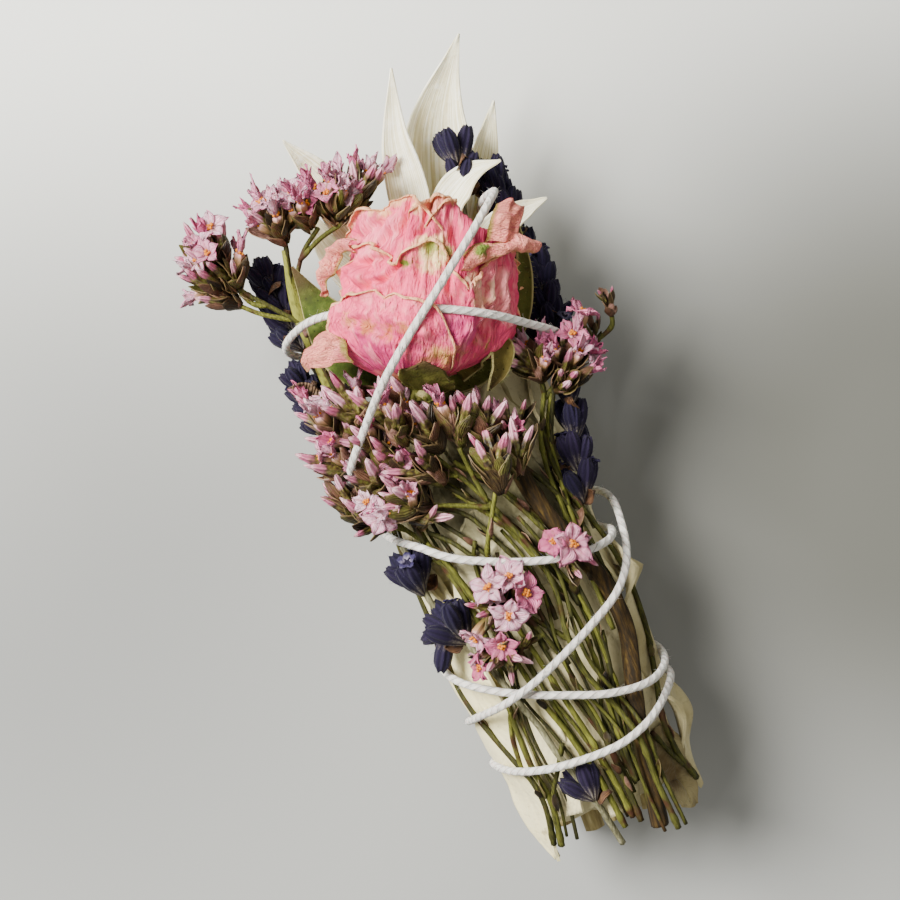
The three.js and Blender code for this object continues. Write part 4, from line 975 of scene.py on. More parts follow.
def floret_parts(stars, buds, husks, seed):
    """All the florets of one spray as parts: stars, buds and bracts are lists of (foot, direction, size,
    openness)."""
    draw = np.random.default_rng(seed)
    parts = []

    def columns(items):
        """The feet, directions, sizes and openness of a list of florets, as arrays."""
        return (np.array([np.asarray(i[k], float) for i in items]) for k in range(4))

    if stars:
        feet, directions, sizes, opened = columns(stars)
        n = len(stars)
        spins = draw.uniform(0, FULL_TURN, n)
        petals = stand(star_petals(n, draw, opened), feet, directions, spins, sizes)
        tone = draw.uniform(0, 1, n)
        parts.append((sheet(petals, 0.1, np.repeat(tone, 5)), star_finish))
        cup = lathe([0.28, 0.55, 0.78, 0.85, 0.68], [0, 1.1, 2.3, 3.4, 3.9], 10, 5, 0.16)
        parts.append((ring_body(stand(cup[None], feet, directions, spins, sizes), tone), cup_finish))
        k = np.arange(ANTHERS)
        turn = spins[:, None] + 2.4 * k
        way = 0.52 * np.sqrt((k + 0.4) / ANTHERS)
        rise = STAR_LENGTH - 0.1 + draw.uniform(-0.3, 0.25, turn.shape)
        spot = np.stack([way * np.cos(turn), way * np.sin(turn), rise], -1)
        base = stand(spot, feet, directions, 0 * spins, sizes).reshape(-1, 3)
        lean = np.repeat(unit(directions), ANTHERS, axis=0) + 0.5 * draw.normal(size=(ANTHERS * n, 3))
        anther = lathe([0.1, 0.24, 0.22, 0.08], [-0.26, -0.1, 0.12, 0.26], 5)
        made = stand(anther[None], base, lean, 0 * base[:, 0], np.repeat(sizes, ANTHERS))
        parts.append((ring_body(made), anther_finish))
    if buds:
        feet, directions, sizes, _ = columns(buds)
        n = len(buds)
        radii = [0.3, 0.56, 0.74, 0.76, 0.6, 0.56, 0.6, 0.42, 0.08]
        shape = lathe(radii, [0, 0.8, 1.7, 2.6, 3.2, 4.0, 4.9, 5.9, 6.7], 10, 5, 0.24, 1.2)
        swell = [draw.uniform(0.8, 1.15, n), draw.uniform(0.8, 1.15, n), draw.uniform(0.82, 1.1, n)]
        shape = shape * np.stack(swell, -1)[:, None, None]
        bend = draw.uniform(-0.7, 0.7, (n, 2))[:, None, None] * (shape[..., 2:] / BUD_LENGTH) ** 2
        shape = np.concatenate([shape[..., :2] + bend, shape[..., 2:]], -1)
        made = stand(shape, feet, directions, draw.uniform(0, FULL_TURN, n), sizes)
        parts.append((ring_body(made, draw.uniform(0, 1, n)), bud_finish))
    if husks:
        feet, directions, sizes, _ = columns(husks)
        n = len(husks)
        made = stand(husk_scales(n, draw), feet, directions, draw.uniform(0, FULL_TURN, n), sizes)
        parts.append((sheet(made, 0.09, draw.uniform(0, 1, n)), husk_finish))
    return parts


def stem_ridges(a, way):
    """A statice stem's section: four low ridges, and a knuckle every eleven millimetres."""
    return 1 + 0.13 * np.cos(4 * a) + 0.3 * np.exp(-((((way + 4) % 11) - 5.5) ** 2) / 0.3)


def winged(a, way):
    """The section of a stem with two flat wings that widen towards its root."""
    return 0.6 + np.maximum(0.1, 2.0 - 0.1 * way) * np.abs(np.sin(a)) ** 6


def make_spray(
    number, stems, heads=(), stars=(), buds=(), wings=None, thin_stems=((-1.9, -1.0), (1.4, -0.8))
):
    """A spray from its stems' lines, its heads (foot, axis, spread, stars, half-open stars, buds, size) and
    its single florets, given by the place of their face or tip, their direction and size. `wings` is the
    line of a winged stem, and each thin stem runs beside the first stem, off it by these shifts across and
    up."""
    parts, joints, husks = [], [], []
    draw = np.random.default_rng(50 + number)
    for n, (side, drop) in enumerate(thin_stems):
        path = smooth_path(stems[0], 1.1)[int(draw.uniform(0, 6)) : -int(draw.uniform(8, 24))]
        across, up = side + 0.3 * waves(path, 22, 31 * number + n), drop + 0.1 * waves(path, 8, 5)
        path = path + np.stack([across, 0 * path[:, 0], up], -1)
        thin = tube(path, draw.uniform(0.24, 0.34), 7, (0.05, 0, 1), draw.uniform(0, 0.6))
        parts.append((thin, stem_finish))
    for k, line in enumerate(stems):
        path = smooth_path(line, 0.6)
        sway = [waves(path, 9, 7 * number + k), 0 * path[:, 0], waves(path, 7, 7 * number + k + 1)]
        path = path + 0.06 * np.stack(sway, -1)
        taper = STEM_RADIUS * np.linspace(1.08 if k == 0 else 0.85, 0.8, len(path))
        tone = 0.1 + 0.13 * ((k + number) % 7)
        parts.append((tube(path, taper, 10, (0.05, 0, 1), tone, stem_ridges), stem_finish))
        joints.append(path[::4])
        ahead = unit(np.gradient(path, axis=0))
        for row in range(14, len(path) - 8, 12 if k else 22):
            lean = unit(ahead[row] + [0.2 * draw.normal(), 0, 0.25])
            husks.append((path[row] + [0, 0, 0.1], lean, draw.uniform(0.4, 0.7), 0))
    if wings:
        parts.append((tube(smooth_path(wings, 0.5), 0.8, 20, (0.05, 0, 1), 1.25, winged), stem_finish))
    joints = np.concatenate(joints + [np.array([head[0] for head in heads])] if heads else joints)
    open_stars = [
        (at - STAR_LENGTH * size * unit(way), way, size, draw.uniform(0.85, 1)) for at, way, size in stars
    ]
    single_buds = [(at - BUD_LENGTH * size * unit(way), way, size, 0) for at, way, size in buds]
    for foot, way, size, _ in open_stars + single_buds:
        root = joints[np.argmin(np.linalg.norm(joints - foot, axis=1))]
        twig = smooth_path([root, 0.5 * (root + foot) - 0.3 * unit(way), foot + 0.4 * unit(way)], 0.4)
        parts.append((tube(twig, TWIG_RADIUS, 8, (0.05, 0.3, 1), 0.5), stem_finish))
        husks += [(foot - 0.5 * n * unit(way), way, draw.uniform(0.65, 0.85) * size, 0) for n in range(3)]
    for at, axis, spread, open_count, half_count, bud_count, size in heads:
        total = open_count + half_count + bud_count
        ways = fan(axis, total, spread)
        along = unit(axis)
        for n, k in enumerate(draw.permutation(total)):
            way = unit(ways[k] + 0.13 * draw.normal(size=3))
            reach = draw.uniform(0.5, 2.3)
            foot = np.asarray(at) + 0.5 * along + reach * ways[k]
            floret = (foot, way, size * draw.uniform(0.84, 1.06))
            if n < open_count + half_count:
                opened = draw.uniform(0.7, 1) if n < open_count else draw.uniform(0.0, 0.4)
                open_stars.append((*floret, opened))
            else:
                single_buds.append((*floret, 0))
            for m in range(3):
                lean = way + 0.13 * draw.normal(size=3)
                husks.append((foot + (0.7 - 0.8 * m) * way, lean, size * draw.uniform(0.85, 1.2), 0))
        for way in fan(axis, 5, 0.9 * spread + 12):
            husks.append((np.asarray(at) + 0.2 * way, way, size * draw.uniform(0.7, 1.0), 0))
    parts += floret_parts(open_stars, single_buds, husks, 400 + number)
    return make_piece(f"pink_statice_spray_{number}", parts, "statice", f"statice_spray_{number}")


stem_finish = Finish("statice_stem", Roughness=0.7, Specular_IOR_Level=0.25)
stem_streaks = stem_finish.noise(0.3, 3, 0.65, stretch=(1, 8, 1))
stem_finish.base = stem_finish.ramp(
    stem_streaks * 0.75 + stem_finish.tone() * 0.35,
    (0.25, "151206"),
    (0.45, "2f2e0c"),
    (0.65, "52531a"),
    (0.85, "7f7f33"),
)
stem_finish.tint("3a200e", stem_finish.noise(4, 3), 0.54, 0.68)
stem_finish.coat((stem_streaks, 0.16), (stem_finish.noise(0.18, 2), 0.05))

star_finish = Finish(
    "statice_petal",
    Roughness=0.6,
    Specular_IOR_Level=0.3,
    Subsurface_Weight=0.15,
    Subsurface_Radius=(1.0, 0.5, 0.5),
    Subsurface_Scale=0.4 * MM,
)
fine_veins = (star_finish.from_middle() * 62.0).sine()
star_finish.base = star_finish.mix(star_finish.tone(), "eccad4", "cc6088")
star_finish.tint("bc5082", star_finish.from_middle(), 0.34, 0.5, 0.6)
star_finish.tint("a03060", star_finish.from_middle(), 0.14, 0.02, 0.4)
star_finish.tint("b54f7c", fine_veins, 0.3, 1.0, 0.35)
star_finish.tint("c9924a", star_finish.place(1), 0.2, 0.0)
star_finish.tint("a2705e", star_finish.noise(1.2), 0.54, 0.72, 0.5)
star_finish.coat((fine_veins, 0.05), (star_finish.noise(0.5), 0.16))

cup_finish = Finish(
    "statice_cup",
    Roughness=0.6,
    Specular_IOR_Level=0.3,
    Subsurface_Weight=0.1,
    Subsurface_Scale=0.4 * MM,
)
ribs = (cup_finish.place(0) * (10 * math.pi)).cosine()
cup_finish.base = cup_finish.ramp(
    cup_finish.place(1), (0.0, "3f3b14"), (0.35, "6c5a2c"), (0.7, "a07a58"), (1.0, "c89496")
)
cup_finish.tint("3f2614", ribs, 0.5, 1.0, 0.6)
cup_finish.coat((ribs, 0.1))

bud_finish = Finish(
    "statice_bud",
    Roughness=0.5,
    Subsurface_Weight=0.1,
    Subsurface_Radius=(1.0, 0.5, 0.5),
    Subsurface_Scale=0.4 * MM,
)
pleats = ((bud_finish.place(0) + bud_finish.place(1) * 0.143) * (10 * math.pi)).cosine()
bud_finish.base = bud_finish.ramp(
    bud_finish.noise(0.8, 2), (0.35, "2c200d"), (0.48, "54451c"), (0.6, "6a6a2c"), (0.75, "97795a")
)
bud_finish.tint("3f2a16", pleats, 0.3, 1.0, 0.5)
husky = bud_finish.base
bud_finish.base = bud_finish.mix(bud_finish.tone(), "e8b0bc", "b24c70")
bud_finish.tint("94406a", pleats, 0.1, -0.9, 0.6)
bud_finish.tint("f0d2d2", bud_finish.place(1), 0.85, 1.0, 0.5)
rim = bud_finish.place(1) + bud_finish.noise(0.9, 2) * 0.2 + bud_finish.tone() * -0.2
bud_finish.tint(husky, rim, 0.74, 0.58)
bud_finish.coat((pleats, 0.1), (bud_finish.noise(0.4, 2), 0.1))

husk_finish = Finish("statice_bract", Roughness=0.5, Specular_IOR_Level=0.35)
husk_finish.base = husk_finish.ramp(
    husk_finish.tone() * 0.75 + husk_finish.noise(0.7) * 0.4,
    (0.2, "1a1207"),
    (0.4, "382912"),
    (0.55, "585722"),
    (0.7, "553727"),
    (0.85, "714f3c"),
    (1.0, "a67c70"),
)
husk_finish.tint("8c7450", husk_finish.from_middle(), 0.36, 0.5, 0.5)
husk_finish.coat(((husk_finish.place(0) * 50.0).sine(), 0.06))

anther_finish = Finish("orange_anther", Roughness=0.8)
anther_finish.base = anther_finish.mix(anther_finish.noise(0.3), "a44c00", "dc8a14")
anther_finish.coat((anther_finish.noise(0.15), 0.08))

make_spray(
    1,
    stems=[
        lay_on(
            LOW, (-8.8, -55.6), (-8.0, -49), (-8.6, -45), (-10.2, -41.3), (-12.2, -36.4), (-13.7, -32.4),
            (-14.5, -28.3), (-14.7, -22), (-15.4, -8), (-15.4, 4),
        )
        + [(-15.6, 14, 17.4), (-16.9, 23, 19.8), (-17.5, 31.7, 21), (-16.4, 39, 23), (-15.2, 43.7, 24.4)],
        [
            (-17.4, 30.6, 21), (-21.3, 34.8, 21.6), (-24.4, 38.6, 21.9), (-25.6, 41.4, 22.3),
            (-25.8, 43.4, 23),
        ],
        [(-17.0, 35.4, 21.8), (-13.6, 40.4, 23), (-10.2, 42.8, 24.4)],
        [(-14.6, 39.4, 22.8), (-10.2, 41.4, 23.8), (-6.2, 42.2, 24.8)],
        [(-21.3, 34.8, 21.6), (-23.4, 36.0, 21.4), (-24.6, 38.0, 21.8)],
        [(-18.4, 31.6, 21), (-22.6, 34.0, 21.2), (-25.6, 36.6, 21.4)],
    ],
    heads=[
        ((-15.6, 42.6, 24.0), (-0.05, 0.93, 0.35), 40, 0, 7, 3, 1.05),
        ((-26.0, 41.2, 22.4), (-0.25, 0.85, 0.4), 44, 1, 3, 7, 1.0),
        ((-26.0, 38.4, 22.0), (-0.6, 0.65, 0.4), 34, 0, 3, 5, 0.9),
        ((-25.2, 36.4, 21.4), (-0.79, 0.6, 0.1), 24, 0, 1, 3, 0.85),
        ((-24.4, 38.6, 21.8), (-0.1, 0.9, 0.45), 42, 0, 3, 5, 1.0),
        ((-11.4, 43.0, 24.2), (-0.15, 0.9, 0.35), 40, 1, 6, 1, 1.05),
        ((-7.2, 42.4, 24.6), (0.2, 0.9, 0.3), 46, 1, 7, 2, 1.05),
        ((-4.2, 43.6, 24.2), (0.55, 0.8, 0.3), 40, 0, 5, 4, 1.0),
    ],
    stars=[
        ((-25.0, 48.2, 26.4), (-0.2, 0.5, 0.85), 1.0),
        ((-28.8, 44.6, 25.8), (-0.4, 0.4, 0.8), 0.92),
        ((-16.4, 49.0, 26.8), (-0.3, 0.6, 0.8), 1.05),
        ((-12.0, 49.0, 27.2), (0.1, 0.5, 0.85), 1.05),
        ((-10.6, 46.4, 27.6), (-0.4, 0.3, 0.85), 0.9),
        ((-4.9, 46.0, 27.6), (-0.2, 0.4, 0.85), 1.0),
    ],
    wings=[
        (-15.9, 20.5, 18.8), (-16.6, 26.2, 20.0), (-17.3, 32, 21.2), (-17.0, 36.5, 22.2),
        (-16.0, 41.5, 23.6),
    ],
    thin_stems=((0.9, -0.7),),
)
make_spray(
    2,
    stems=[
        lay_on(
            LOW, (15.0, -54), (13.4, -49), (12.9, -43), (14.2, -37), (15.4, -31), (15.8, -25), (15.0, -18),
            (13.0, -11), (11.0, -5), (10.6, 1),
        )
        + [(11.4, 5.4, 21.6), (12.6, 8.4, 23.2), (13.0, 11, 24.2)],
        [(12.2, 7.4, 22.8), (14.4, 9.0, 23.2), (16.5, 10.9, 23.8)],
        [(14.4, 9.0, 23.2), (18.6, 11.4, 22.6), (22.8, 13.2, 22), (25.8, 14.6, 22), (26.4, 17, 22.2)],
        lay_on(LOW, (9.5, -11.5), (9.6, -7.9), (9.4, -2.3))
        + [(9.9, 2.2, 23.4), (11.4, 5.4, 23.4), (12.8, 8.6, 23.6)],
        lay_on(LOW, (10.6, -20), (10.4, -10), (11.0, -2)) + [(11.8, 4.0, 21.8), (13.8, 8.2, 23.2)],
        [(11.0, 0.4, 21.4), (12.6, 4.6, 22.2), (14.2, 8.6, 23.4)],
        lay_on(LOW, (11.4, -36.4), (12.4, -21.4), (11.0, -9.6), (8.2, -3.8), (5.2, 1.0)),
    ],
    heads=[
        ((13.0, 10.6, 24.3), (0.05, 0.85, 0.45), 40, 0, 5, 4, 1.0),
        ((16.6, 10.2, 23.8), (0.4, 0.8, 0.4), 40, 0, 4, 3, 1.0),
        ((14.8, 8.2, 23.6), (0.5, 0.5, 0.7), 44, 0, 2, 5, 0.9),
        ((26.3, 16.0, 22.2), (0.1, 1, 0.1), 30, 0, 0, 3, 0.5),
        ((22.8, 13.0, 22), (0.1, 1, 0.2), 26, 0, 0, 2, 0.5),
        ((18.6, 11.4, 22.6), (0.3, 1, 0.2), 26, 0, 0, 2, 0.5),
    ],
    stars=[
        ((19.4, 15.4, 27.6), (0.2, 0.4, 0.8), 1.0),
        ((22.2, 18.0, 26.2), (0.5, 0.8, 0.3), 1.0),
        ((21.2, 12.4, 26.6), (0.7, -0.1, 0.6), 0.95),
    ],
    thin_stems=((-2.2, -1.0),),
)
make_spray(
    3,
    stems=[
        lay_on(TOP, (9.3, -58), (8.7, -50), (8.3, -43))
        + lay_on(
            HIGH, (6.9, -38.4), (5.3, -34.9), (4.0, -31), (3.7, -25.6), (4.2, -19), (3.5, -13.7),
            (0.9, -6.8), (-1.6, -1.6),
        )
        + [(-5.4, 5.0, 28.6), (-8.7, 9.4, 30.6)],
        [*lay_on(HIGH, (-0.6, -3.6)), (-1.4, 1.4, 28.4), (-1.9, 5.2, 29.6)],
        [*lay_on(HIGH, (-0.2, -4.6)), (-5, -2.6, 27.6), (-9.2, -1.1, 27.4)],
        [(-3.4, 1.4, 27.6), (-7, 3.6, 27), (-9.8, 5.8, 27)],
        lay_on(LOW, (6.8, -22.4), (6.1, -19.3), (4.6, -15.7), (2.2, -9), (-2.0, -3.4))
        + [(-6.2, 1.4, 26.8)],
        lay_on(LOW, (2.9, -23.2), (2.4, -18), (-0.8, -10.4), (-4.6, -4.0), (-8.4, -1.8)),
    ],
    heads=[
        ((-9.2, 8.6, 30.4), (0.0, 0.9, 0.35), 26, 0, 2, 5, 1.2),
        ((-4.6, 6.0, 29.6), (-0.35, 0.9, 0.3), 24, 0, 1, 6, 1.15),
        ((-1.4, 5.6, 29.0), (-0.05, 0.95, 0.25), 24, 0, 1, 6, 1.15),
        ((1.6, 5.0, 28.2), (0.25, 0.9, 0.2), 26, 0, 0, 5, 1.05),
        ((-9.0, -1.6, 27.2), (-0.71, 0.68, 0.3), 34, 0, 1, 8, 1.1),
        ((-10.6, 3.6, 26.8), (-0.2, 0.9, 0.5), 34, 0, 2, 5, 1.1),
        ((-5.8, 1.4, 27.8), (-0.45, 0.8, 0.35), 30, 0, 1, 6, 1.1),
        ((-6.4, 11.4, 28.2), (0.1, 0.9, 0.3), 28, 0, 1, 4, 1.05),
    ],
    stars=[((-11.4, 6.1, 30.8), (0.1, 0.2, 1), 0.95)],
    buds=[((-5.6, -4.0, 28.6), (0.9, -0.25, 0.3), 0.9), ((-7.4, -1.6, 30.2), (0.5, 0.3, 0.6), 0.9)],
)
make_spray(
    4,
    stems=[
        lay_on(
            LOW, (-7.7, -56), (-7.0, -48), (-7.8, -43), (-8.2, -36), (-7.4, -26), (-8.8, -15), (-11.2, -6),
            (-12.6, 3),
        )
        + [(-14.2, 10, 22.6), (-17.6, 13.5, 25)],
        [(-13.0, 8, 22), (-13.2, 11, 24.6), (-13.4, 13.8, 26.8)],
        lay_on(LOW, (-8.0, -34), (-9.2, -38), (-9.4, -44)),
    ],
    heads=[
        ((-17.6, 12.2, 24.8), (-0.35, 0.9, 0.25), 28, 0, 2, 5, 1.1),
        ((-13.6, 12.4, 26.4), (-0.25, 0.9, 0.35), 28, 0, 2, 5, 1.1),
        ((-15.8, 10.0, 25.0), (-0.45, 0.8, 0.4), 34, 0, 1, 5, 1.0),
    ],
    thin_stems=((1.0, -0.6), (2.2, -1.0)),
)
make_spray(
    5,
    stems=[
        lay_on(LOW, (2.1, -55.6), (1.0, -48), (-0.2, -43), (-1.5, -38.4), (-3.2, -33.4), (-6.4, -20))
        + lay_on(HIGH, (-9.9, -8.7), (-13.4, -3.6))
        + [(-16.0, -0.6, 24.4)],
        [*lay_on(HIGH, (-13.4, -3.6)), (-17.6, -0.4, 22.6), (-19.8, 1.6, 23.4)],
        [*lay_on(HIGH, (-11.4, -6.4)), (-12.8, 0, 25), (-14, 4.4, 25.2)],
        [(-13.6, 3.2, 25.2), (-16.4, 7.0, 24.6), (-19, 8.9, 24.8)],
        lay_on(LOW, (-2.5, -40.7), (-4.4, -44.3), (-6.5, -48.6), (-8, -55.9)),
        lay_on(LOW, (-7.6, -16.5), (-9.8, -10.6), (-12.4, -7.6)),
    ],
    heads=[
        ((-19.5, 0.4, 23.2), (-0.3, 0.95, 0.15), 24, 0, 0, 6, 1.0),
        ((-14.2, 2.6, 25.4), (-0.35, 0.85, 0.45), 34, 0, 1, 6, 1.1),
        ((-17.0, 6.2, 24.8), (-0.55, 0.75, 0.35), 30, 0, 1, 5, 1.05),
        ((-16.4, -2.2, 24.0), (-0.35, 0.7, 0.6), 36, 0, 1, 4, 1.0),
        ((-11.4, -2.2, 26.0), (0.0, 0.8, 0.5), 34, 0, 1, 6, 1.05),
        ((-12.6, 7.2, 26.8), (-0.2, 0.9, 0.4), 30, 0, 1, 5, 1.1),
    ],
    stars=[
        ((-15.7, -0.4, 29.6), (0.0, -0.1, 1), 1.1),
        ((-17.3, 2.6, 28.4), (-0.3, 0.5, 0.9), 0.85),
        ((-21.6, 10.8, 27.0), (-0.86, 0.42, 0.3), 1.0),
    ],
    buds=[((-20.6, 8.0, 27.4), (-0.2, 0.9, 0.4), 0.9), ((-17.6, 8.6, 28.4), (-0.1, 0.9, 0.5), 0.95)],
)
make_spray(
    6,
    stems=[
        lay_on(
            LOW, (3.7, -54.6), (2.7, -46.7), (1.4, -40.3), (0, -34.5), (-1.6, -27.2), (-3.2, -20),
            (-3.4, -11.7),
        )
        + lay_on(HIGH, (-2.6, -9))
        + lay_on(TOP, (-0.2, -4.6))
        + [(1.7, -1, 30.8)],
        lay_on(LOW, (9.8, -11.6), (8.5, -9.8)) + lay_on(HIGH, (4.1, -0.4)),
        lay_on(LOW, (7.0, -10.8), (7.4, -6.3), (6.2, -1.1)) + [(5.0, 3.0, 25.0)],
        lay_on(HIGH, (5.9, -10.4), (1.7, -2.6)),
        lay_on(LOW, (4.1, -27.1), (1.4, -23.8), (-1.4, -20.4)),
        lay_on(LOW, (10.5, -27.8), (9.6, -16.6), (5.4, -8.0), (1.4, -2.0)) + [(-3.4, 3.6, 27.0)],
        lay_on(LOW, (5.8, -43.4), (6.0, -24.8), (1.8, -10.6), (-3.0, -2.4), (-6.6, 2.6)),
        lay_on(LOW, (8.0, -36.0), (7.4, -22.0), (3.4, -12.2), (-1.4, -5.0), (-5.0, -0.6)),
        lay_on(LOW, (2.4, -30.0), (0.4, -19.0), (-4.2, -9.6), (-8.6, -3.8)),
        lay_on(LOW, (0.2, -27.0), (-2.6, -16.0), (-7.0, -8.2), (-10.4, -5.0)),
    ],
    heads=[
        ((1.7, -2.6, 30.4), (0.1, 0.95, 0.25), 24, 0, 0, 5, 1.15),
        ((4.9, -1.2, 29.2), (0.3, 0.9, 0.25), 20, 0, 0, 3, 1.05),
        ((5.4, 3.4, 24.6), (0.2, 0.8, 0.5), 40, 0, 2, 5, 0.85),
    ],
)
make_spray(
    7,
    stems=[
        lay_on(LOW, (6.0, -49.8), (6.0, -45), (6.6, -39), (7.6, -34.5), (8.4, -28), (7.6, -20), (6.9, -15))
        + [(6.3, -12.4, 27.2)],
        [*lay_on(LOW, (6.9, -15)), (8.3, -12.6, 27)],
        lay_on(LOW, (10.6, -44.1), (12.8, -49.4), (15, -53.4)),
        lay_on(LOW, (8.8, -27.2), (7.6, -34.5), (7.2, -39), (6.5, -45.3)),
    ],
    heads=[((7.6, -14.8, 26.2), (0.0, -0.2, 1), 60, 0, 0, 2, 0.8)],
    stars=[
        ((6.1, -11.9, 31.0), (-0.35, 0.3, 1), 0.85),
        ((8.9, -13.3, 31.6), (0.3, 0.05, 1), 1.15),
        ((7.2, -15.0, 30.6), (0.1, -0.7, 0.7), 0.7),
    ],
    buds=[((10.9, -17.6, 28.2), (0.5, -0.8, 0.2), 0.7)],
    thin_stems=((-2.0, -1.0), (-1.0, -0.6)),
)
make_spray(
    8,
    stems=[
        lay_on(LOW, (4.7, -55.6), (4.2, -48), (3.8, -41.8), (2.6, -36), (2.0, -30))
        + lay_on(HIGH, (0.4, -24.4), (-2.2, -19)),
        [*lay_on(HIGH, (0.4, -24.4)), (-3, -25.0, 27.4), (-6.9, -24.2, 27.2)],
        [(-3, -25.0, 27.4), (-4.4, -26.6, 28), (-5.3, -27.8, 28.2)],
        [*lay_on(HIGH, (-1.4, -20.8)), (-4.6, -19.6, 27.0), (-6.4, -20.4, 27.6)],
        [*lay_on(HIGH, (-2.2, -19)), (-3.0, -17.0, 26.8), (-3.6, -16.2, 27.2)],
        lay_on(LOW, (0.6, -34.5), (2.5, -35.3), (4.0, -41.8), (4.3, -46.3), (4.5, -54.7)),
    ],
    heads=[
        ((-2.6, -18.6, 26.0), (0, 0.1, 1), 58, 0, 1, 3, 0.8),
        ((-6.4, -24.4, 26.2), (-0.2, 0.1, 1), 56, 0, 1, 3, 0.75),
    ],
    stars=[
        ((-4.9, -14.9, 31.0), (-0.35, 0.45, 1), 1.1),
        ((-1.5, -14.3, 31.2), (0.15, 0.5, 1), 1.0),
        ((0.2, -17.7, 31.0), (0.4, 0.0, 1), 1.15),
        ((-3.4, -19.9, 31.4), (-0.1, -0.1, 1), 1.12),
        ((-5.8, -23.8, 30.6), (-0.1, -0.3, 1), 1.05),
        ((-9.3, -21.4, 29.6), (-0.75, -0.5, 0.5), 1.0),
        ((-10.2, -25.6, 29.2), (-1, 0.1, 0.35), 0.85),
        ((-4.4, -16.9, 30.2), (0.1, -0.5, 0.8), 0.75),
    ],
    buds=[
        ((-8.4, -16.2, 30.2), (-0.7, 0.5, 0.5), 0.8),
        ((-0.8, -23.4, 30.4), (0.5, 0.4, 0.8), 0.75),
        ((-6.2, -30.4, 29.2), (-0.15, -0.95, 0.2), 0.8),
        ((-2.6, -27.0, 29.6), (0.7, -0.4, 0.5), 0.75),
    ],
)

# Lavender.
# Seven sprigs, tucked in from the sides. Each is a thin grey downy stem with whorls of cups: a cup is a
# plump ribbed tube, navy with a pale woolly foot, toothed round its mouth, and now and then a dried flower
# hangs out of it. A brown papery bract sits under each whorl.
CUP_RADIUS = 1.2
CUP_LENGTH = 6.2
CUP_HAIRS = 26
SPRIGS = [
    # stem, and its rows of whorls: foot, tip, whorls, cups in each, lean in degrees, size, share in flower
    (
        [(-15.4, 8, 9), (-17.4, 19, 11.4), (-19.2, 28, 14.6), (-20.4, 38.8, 16.6)],
        [((-19.0, 27.6, 14.8), (-20.4, 37.4, 16.6), 5, 6, 36, 1.0, 0.15)],
    ),
    (
        [(-17.6, 2, 12.6), (-18.6, 13.6, 14.4), (-20.7, 22.4, 15.6)],
        [((-18.6, 13.6, 14.4), (-20.4, 20.6, 15.4), 4, 6, 36, 1.0, 0.1)],
    ),
    (
        [(14.6, 12, 10), (15.6, 22, 13.4), (16.6, 30, 15.8), (17.0, 41.2, 17.1)],
        [((16.4, 27.6, 15.4), (16.9, 39.6, 17), 6, 6, 32, 1.0, 0.1)],
    ),
    (
        [(10.8, 37.6, 20.2), (11.8, 41.4, 20.6), (12.5, 45.6, 20.8)],
        [
            ((12.4, 44.4, 20.8), (12.6, 45.4, 20.8), 1, 4, 22, 1.0, 0.0),
            ((11.6, 40.6, 20.4), (11.8, 41.4, 20.6), 1, 3, 26, 0.9, 0.0),
        ],
    ),
    (
        [(15.6, 1, 11.6), (17.0, 14, 15.6), (18.6, 25.6, 16.9)],
        [((16.9, 14, 15.8), (18.4, 24.4, 16.8), 5, 6, 34, 1.0, 0.2)],
    ),
    (
        [(13.4, -13, 19.4), (13.0, -9.2, 19.6), (13.8, -1.6, 20.2), (16.2, 6, 20)],
        [((13.0, -8.8, 19.6), (15.8, 4.8, 20), 4, 6, 25, 1.08, 0.45)],
    ),
    (
        [(1.0, -58.7, 20.6), (-0.6, -51, 24.0)]
        + lay_on(LOW, (-1.8, -47), (-3.7, -41.8), (-4.8, -37.3))
        + lay_on(HIGH, (-6.2, -33.3), (-8.2, -27.6))
        + [(-11.0, -21.2, 23.6), (-13.5, -15.4, 22.2), (-14.4, -8.5, 21.6), (-14.8, -5.6, 21.4)],
        [
            ((-0.8, -50.6, 24.6), (-1.2, -49.2, 24.8), 1, 6, 24, 0.95, 0.0),
            ((-10.8, -21.8, 24.0), (-11.6, -20.2, 24.2), 1, 7, 32, 1.08, 0.1),
            ((-12.4, -19.0, 22.8), (-13.8, -20.1, 22.0), 1, 3, 24, 1.1, 0.0),
            ((-14.2, -13.0, 21.9), (-14.4, -11.4, 22), 1, 7, 28, 1.1, 0.1),
        ],
    ),
]


def leaning(axis, turns, leans):
    """Directions that lean away from the axis by their degrees, each at its turn round it."""
    w = unit(axis)
    first = unit(np.cross((0, 0, 1), w))
    second = np.cross(w, first)
    leans = np.radians(leans)
    return np.cos(leans)[:, None] * w + np.sin(leans)[:, None] * (
        np.cos(turns)[:, None] * first + np.sin(turns)[:, None] * second
    )


def cup_skin(a, v):
    """Radius and height of a cup at each turn and share of its length: the body swells past its middle, and
    eight ribs run up it. Its mouth's rim rises in a tooth over each rib."""
    swell = eased([0.32, 0.58, 0.8, 0.96, 1.05, 1.04, 0.92, 0.5], v)
    radius = CUP_RADIUS * swell * (1 + 0.035 * np.cos(8 * a))
    return radius, CUP_LENGTH * v + 0.22 * np.cos(4 * a) * np.clip(v - 0.86, 0, 1) / 0.14


